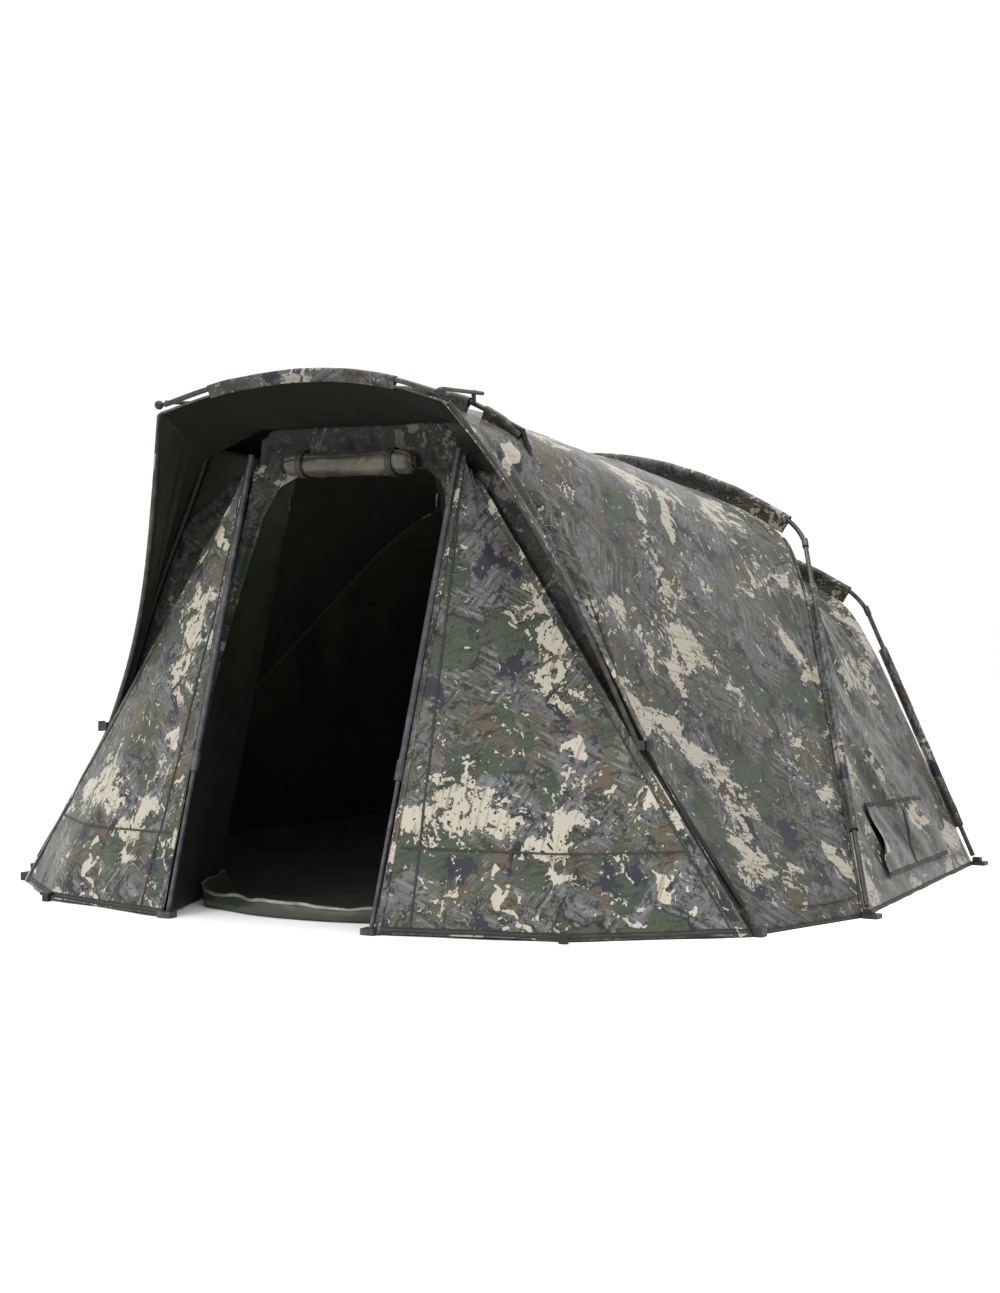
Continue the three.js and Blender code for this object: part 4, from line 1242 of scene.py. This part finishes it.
# ---- groundsheet and sill -------------------------------------------------------------------
# The groundsheet reaches the hem on three sides and turns up there like the rim of a tray.
TRAY_OUTLINE = catmull(
    [(1.235, 0.030, 0), (1.385, 0.500, 0), (1.310, 1.100, 0), (1.235, 1.960, 0),
     (1.030, 2.290, 0), (0.560, 2.375, 0), (0.0, 2.400, 0)],
    np.linspace(0, 1, 60),
)
tray_rim = np.vstack([TRAY_OUTLINE, mirrored(TRAY_OUTLINE[::-1][1:], -1)])
tray_spine = np.stack(
    [0 * tray_rim[:, 0], np.clip(tray_rim[:, 1], 0.030, 2.2), 0 * tray_rim[:, 0]], axis=1
)
tray_grid, tray_v = ruled(tray_spine, tray_rim, 60)
tray_at = tray_grid[..., :2].copy()
creases = 0.004 * np.abs(fold(tray_at, 25, 0.5, 0.12, 91)) + 0.002 * fold(tray_at, -50, 0.3, 0.06, 92)
turned_up = 0.050 * smooth(tray_v, 0.955, 1.0)[None, :]
tray_grid[..., 2] = np.maximum(0.004 + creases, 0.002) + turned_up
groundsheet = cloth("groundsheet_cloth", [tray_grid], [tray_at], [GROUND], (0, 1, 9))
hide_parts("groundsheet")
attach(groundsheet, "frame")

SILL_HALF_LINE = [(0.520, 0.030), (0.505, -0.020), (0.405, -0.236), (0.292, -0.290), (0.150, -0.336)]
SILL_LINE = [(-x, y) for x, y in SILL_HALF_LINE] + [(0.0, -0.350)] + SILL_HALF_LINE[::-1]
sill_path = catmull([(x, y, 0.0) for x, y in SILL_LINE], np.linspace(0, 1, 221))
SILL_LIP_HEIGHT = 0.046


def sill_sheet():
    """The sill: cloth from under the doorway, out to the curved nose, up into a slack lip.

    The lip stands tallest beside the doorway, where it is tied up, and slumps in the middle.
    """
    along = run_length(sill_path)
    side = np.abs(sill_path[:, 0])
    inner = np.stack([sill_path[:, 0] * 0.98, np.full(len(sill_path), 0.040), 0 * along + 0.006], axis=1)
    rim = ripple(along / 0.17, 0 * along + 3.3, 95) * 0.015 + ripple(along / 0.05, 0 * along, 97) * 0.006
    rim_height = SILL_LIP_HEIGHT + rim + 0.030 * smooth(side, 0.33, 0.5)
    slack = 0.016 * ripple(along / 0.12, 0 * along + 8, 98) + 0.007 * ripple(along / 0.04, 0 * along, 99)
    rows = []
    for v in np.linspace(0, 1, 30):
        floor_wave = 0.003 * math.sin(v * 3) + 0.003 * v * ripple(along / 0.1, 0 * along + v * 4, 94)
        flat = lerp(inner, sill_path + (0, 0.040, 0.008), v)
        flat[:, 2] += np.abs(floor_wave)
        rows.append(flat)
    for v in np.linspace(0.06, 1, 14):
        inwards = 0.040 * (1 - v) ** 1.5 + slack * v
        creased = 0.006 * ripple(along / 0.035, 0 * along + v * 3, 96) * v
        up = np.stack([0 * along, inwards + creased, lerp(0.008, rim_height, v)], axis=1)
        rows.append(sill_path + up)
    for v in np.linspace(0.1, 1, 10):
        outwards = (1 - v) * (slack + 0.002) - 0.010 * math.sin(v * 3.0) - 0.002
        down = np.stack([0 * along, outwards, rim_height * (1 - v) + 0.001], axis=1)
        rows.append(sill_path + down)
    return np.stack(rows, axis=1)


sill_grid = sill_sheet()
sill_steps = np.linalg.norm(np.diff(sill_grid, axis=1), axis=2)
sill_down = np.concatenate([np.zeros((len(sill_path), 1)), np.cumsum(sill_steps, axis=1)], axis=1)
sill_at = np.stack(np.broadcast_arrays(run_length(sill_path)[:, None], sill_down), axis=2)
sill = cloth("door_sill_cloth", [sill_grid], [sill_at], [SHEETING], (0, -1, 9))
# A pale band along the crest of the lip: a painted highlight.
crest_grid = sill_grid[:, 41:46] + np.array([0, -0.0022, 0.0022])
lip_crest_highlight = cloth("sill_rim_painted_highlight", [crest_grid], [sill_at[:, 41:46]], [LIP_HIGHLIGHT], (0, -9, 4))
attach(lip_crest_highlight, "frame")
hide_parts("door_sill")
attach(sill, "frame")

# ---- vent flaps -----------------------------------------------------------------------------
VENT_ALONG, VENT_LOW, VENT_HIGH = (0.24, 0.80), 0.06, 0.27


def rear_patch(sign, up, share):
    """Places on the rear bay's side, at shares `up` its leg and `share` of the way back."""
    rows = up * LEG_STEPS
    rows = rows if sign < 0 else RIB_COUNT - 1 - rows
    cols = share * REAR_BAY_STEPS
    i, j = np.floor(rows).astype(int), np.floor(cols).astype(int)
    u, v = (rows - i)[:, None, None], (cols - j)[None, :, None]
    low = lerp(rear_grid[np.ix_(i, j)], rear_grid[np.ix_(i + 1, j)], u)
    high = lerp(rear_grid[np.ix_(i, j + 1)], rear_grid[np.ix_(i + 1, j + 1)], u)
    return lerp(low, high, v)


for side, sign in SIDES.items():
    up = np.linspace(VENT_LOW, VENT_HIGH, 31)
    share = np.linspace(VENT_ALONG[0], VENT_ALONG[1], 61)
    flat = rear_patch(sign, up, share)
    at = plane_places(flat)
    rise = np.linspace(0, 1, 31)[:, None]
    bulge = 0.008 + 0.008 * np.sin(rise * math.pi) + 0.004 * fold(at, 50 * sign, 0.2, 0.05, 101 + sign)
    bulge = np.where(rise > 0.97, 0.006, np.maximum(bulge, 0.005))
    grid = flat + np.array([sign * 1.0, 0, 0.45]) * bulge[..., None]
    flap = cloth(f"vent_flap_cloth_{side}", [grid], [at + 3], [CANOPY, LINING], (sign * 6, 1.2, 2))
    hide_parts(f"vent_flap_{side}")
    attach(flap, f"vent_flap_{side}")
    outward = np.array([sign * 1.0, 0, 0.4])
    trims = []
    for edge_name, edge_path in (
        ("hem", grid[1, 1:-1]), ("head", grid[-2, 1:-1]), ("middle", grid[1:-1, 30]),
    ):
        facing = np.tile(outward, (len(edge_path), 1))
        trim = band(f"vent_flap_{edge_name}_{side}", edge_path, facing, 0.014, BINDING)
        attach(trim, f"vent_flap_{side}")
        trims.append(trim)
    mesh_grid = flat[2:-3, 3:-3] + outward * 0.004
    vent_mesh = cloth(f"vent_mesh_{side}", [mesh_grid], [at[2:-3, 3:-3]], [MESH_VENT], (sign * 6, 1.2, 2))
    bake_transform(vent_mesh)

# ---- pole sleeves ---------------------------------------------------------------------------
DOWN = np.array([0, 0, -1.0])


def span_of(points, low, high):
    """The stretch of a hoop line between two values of x, with evenly spaced points."""
    kept = points[(points[:, 0] >= low) & (points[:, 0] <= high)]
    return resampled(kept, max(12, int(run_length(kept)[-1] / 0.008)))


def add_sleeve(name, path, down, height, body, **options):
    made = sleeve(name, path, np.broadcast_to(down, path.shape), height, SLEEVE_CLOTH, **options)
    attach(made, body)
    return made


dense = np.linspace(-1, 1, 400)
rear_pole = roof_arc(REAR_ELBOW, REAR_RISE, REAR_POWER, dense)
back_pole = roof_arc(BACK_ELBOW, BACK_RISE, BACK_POWER, dense)
main_pole = roof_arc(MAIN_SHOULDER, MAIN_RISE, MAIN_POWER, dense)
brow_pole = catmull(BROW_ROOF, np.linspace(0, 1, 400))

MAIN_SLEEVE_DEPTH, HOOP_SLEEVE_DEPTH = 0.032, 0.054
SHOULDER_SPAN = (0.435, 0.556)
brow_sleeve = add_sleeve(
    "brow_sleeve", span_of(brow_pole, -0.325, 0.330), DOWN, 0.030, "brow", girth=0.0105
)
main_sleeve = add_sleeve(
    "main_sleeve_middle", span_of(main_pole, -0.385, 0.385), DOWN, MAIN_SLEEVE_DEPTH, "frame"
)
rear_sleeve = add_sleeve(
    "rear_sleeve_roof", span_of(rear_pole, -0.806, 0.806), DOWN, HOOP_SLEEVE_DEPTH, "frame"
)
back_sleeve = add_sleeve(
    "back_sleeve_roof", span_of(back_pole, -0.758, 0.758), DOWN, HOOP_SLEEVE_DEPTH, "back_hoop"
)
front_goes_with, rear_goes_with = [brow_sleeve, main_sleeve, rear_sleeve], [back_sleeve]


def leg_sleeve(name, foot, elbow, start, end, sign, body, height=0.020):
    low, high = np.array(foot), np.array(elbow)
    path = mirrored(lerp(low, high, np.linspace(start, end, 90)[:, None]), sign)
    inward = np.array([-sign * 1.0, 0, -0.15])
    return add_sleeve(name, path, inward, height, body, girth=0.0125)


for side, sign in SIDES.items():
    shoulder = span_of(main_pole, *sorted(sign * x for x in SHOULDER_SPAN))
    towards_seam = (-sign * 0.5, 0, -1.0)
    front_goes_with += [
        add_sleeve(
            f"main_sleeve_shoulder_{side}", shoulder, towards_seam, MAIN_SLEEVE_DEPTH, "frame"
        ),
        leg_sleeve(f"rear_sleeve_leg_{side}", REAR_FOOT, REAR_ELBOW, 0.20, 0.835, sign, "frame"),
    ]
    rear_goes_with.append(
        leg_sleeve(f"back_sleeve_leg_{side}", BACK_FOOT, BACK_ELBOW, 0.14, 0.80, sign, "back_hoop")
    )

# ---- bands and seams ------------------------------------------------------------------------
# The leading edge band carries the lighter hem print: a painted highlight along the rolled edge.
line = resampled(LEADING, 420)
near = MAIN[np.argmin(np.linalg.norm(LEADING[:, None] - line[None], axis=2), axis=0)]
inwards = near - line
inwards[np.linalg.norm(inwards, axis=1) < 0.02] = (0, 1, 0)
facing = np.cross(np.gradient(line, axis=0), inwards)
edge = band("leading_edge_band", line + (0, 0.010, 0), facing, 0.026, HEM_HIGHLIGHT_CLOTH, 0.001, 0.0022)
height = np.array([v.co.z for v in edge.data.vertices])
share = smooth(height, BROW_PIVOT[2], BROW_PIVOT[2] + 0.06).astype(np.float32)
edge.data.attributes.new(WEIGHT, "FLOAT", "POINT").data.foreach_set("value", share)
front_goes_with.append(edge)


def seam(name, path, facing, width=0.012, material=None, body="frame", **options):
    made = band(name, path, facing, width, material or BINDING, **options)
    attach(made, body)
    return made


for side, sign in SIDES.items():
    wing, grid, normals = wings[side]
    drop = int(round((1 - VALANCE_Z / WING_TOP_Z) * WING_ROWS))
    # The outer and inner edge bands carry the lighter hem print as a painted highlight.
    trims = [
        seam(f"wing_valance_{side}", grid[drop, 2:-3], normals[drop, 2:-3], 0.006, thick=0.0014),
        seam(f"wing_hem_{side}", grid[-2], normals[-2], 0.016),
        seam(f"wing_outer_edge_{side}", grid[:, 2], normals[:, 2], 0.024, HEM_HIGHLIGHT_CLOTH),
        seam(f"wing_outer_piping_{side}", grid[:, 4], normals[:, 4], 0.005, thick=0.0016),
        seam(f"wing_pole_seam_{side}", grid[:-1, -9], normals[:-1, -9], 0.007, thick=0.0014),
        seam(f"wing_inner_edge_{side}", grid[:, -2], normals[:, -2], 0.016, HEM_HIGHLIGHT_CLOTH),
    ]

for side, sign in SIDES.items():
    rows = slice(0, LEG_STEPS) if sign < 0 else slice(RIB_COUNT - LEG_STEPS, RIB_COUNT)
    out = np.tile([sign * 0.86, 0, 0.5], (LEG_STEPS, 1))
    front_goes_with.append(seam(f"rear_rib_seam_{side}", REAR[rows], out, 0.012, SLEEVE_CLOTH))
    for name, bay, goes_with in (
        ("main_hem", bay_grid, front_goes_with), ("rear_hem", rear_grid, rear_goes_with),
    ):
        out = np.tile([sign * 1.0, 0, 0.3], (bay.shape[1], 1))
        goes_with.append(seam(f"{name}_{side}", bay[0 if sign < 0 else -1], out, 0.014))
rear_goes_with.append(seam("back_hem", HEM, np.tile([0, 1.0, 0.4], (RIB_COUNT, 1)), 0.016))

# ---- canopy sheets: transforms baked into their meshes --------------------------------------
bend_between(ceiling)
bend_between(canopy_front)
bend_between(canopy_rear)
bend_between(edge)

# ---- floor, light and camera ----------------------------------------------------------------
scene = bpy.context.scene
scene.view_settings.view_transform = "Standard"
scene.view_settings.look = "None"

floor_material, fg, floor_shader = new_material("floor")
fine_grain = solid_noise(fg, surface_at(fg), 30.0, 3.0)
fg.feed(floor_shader.inputs["Base Color"], fg.mix(fine_grain, colour(250, 250, 250), colour(252, 252, 252)))
floor_shader.inputs["Roughness"].default_value = 0.9
floor_shader.inputs["Specular IOR Level"].default_value = 0.1
FLOOR_HALF = 60.0
corners = [(x * FLOOR_HALF, y * FLOOR_HALF, 0) for x, y in ((-1, -1), (1, -1), (1, 1), (-1, 1))]
floor = new_object("floor", corners, [(0, 1, 2, 3)], [floor_material])
floor.location.z = -0.0008

world = bpy.data.worlds.new("studio")
world.use_nodes = True
world.node_tree.nodes["Background"].inputs["Color"].default_value = (1, 1, 1, 1)
world.node_tree.nodes["Background"].inputs["Strength"].default_value = 1.05
scene.world = world


def area_light(name, location, target, size, watts):
    light = bpy.data.lights.new(name, "AREA")
    light.size = size
    light.energy = watts
    obj = bpy.data.objects.new(name, light)
    obj.location = location
    obj.rotation_euler = (Vector(target) - Vector(location)).to_track_quat("-Z", "Y").to_euler()
    scene.collection.objects.link(obj)


area_light("top", (0.0, 0.6, 6.0), (0.0, 0.9, 0.6), 3.0, 330)
area_light("front", (-1.6, -6.3, 3.2), (-0.4, 0.0, 0.7), 2.5, 95)
area_light("inside", (0.0, 0.30, 1.25), (0.0, 2.0, 0.4), 0.4, 4.5)

CAMERA_LENS = 66.0
CAMERA_PLACE = (3.8907, -6.0450, 0.9564)
CAMERA_DIRECTION = (-0.4908, 0.8710, -0.0237)
camera_data = bpy.data.cameras.new("camera")
camera_data.sensor_width = 36
camera_data.lens = CAMERA_LENS
camera = bpy.data.objects.new("camera", camera_data)
camera.location = CAMERA_PLACE
camera.rotation_euler = Vector(CAMERA_DIRECTION).to_track_quat("-Z", "Y").to_euler()
scene.collection.objects.link(camera)
scene.camera = camera
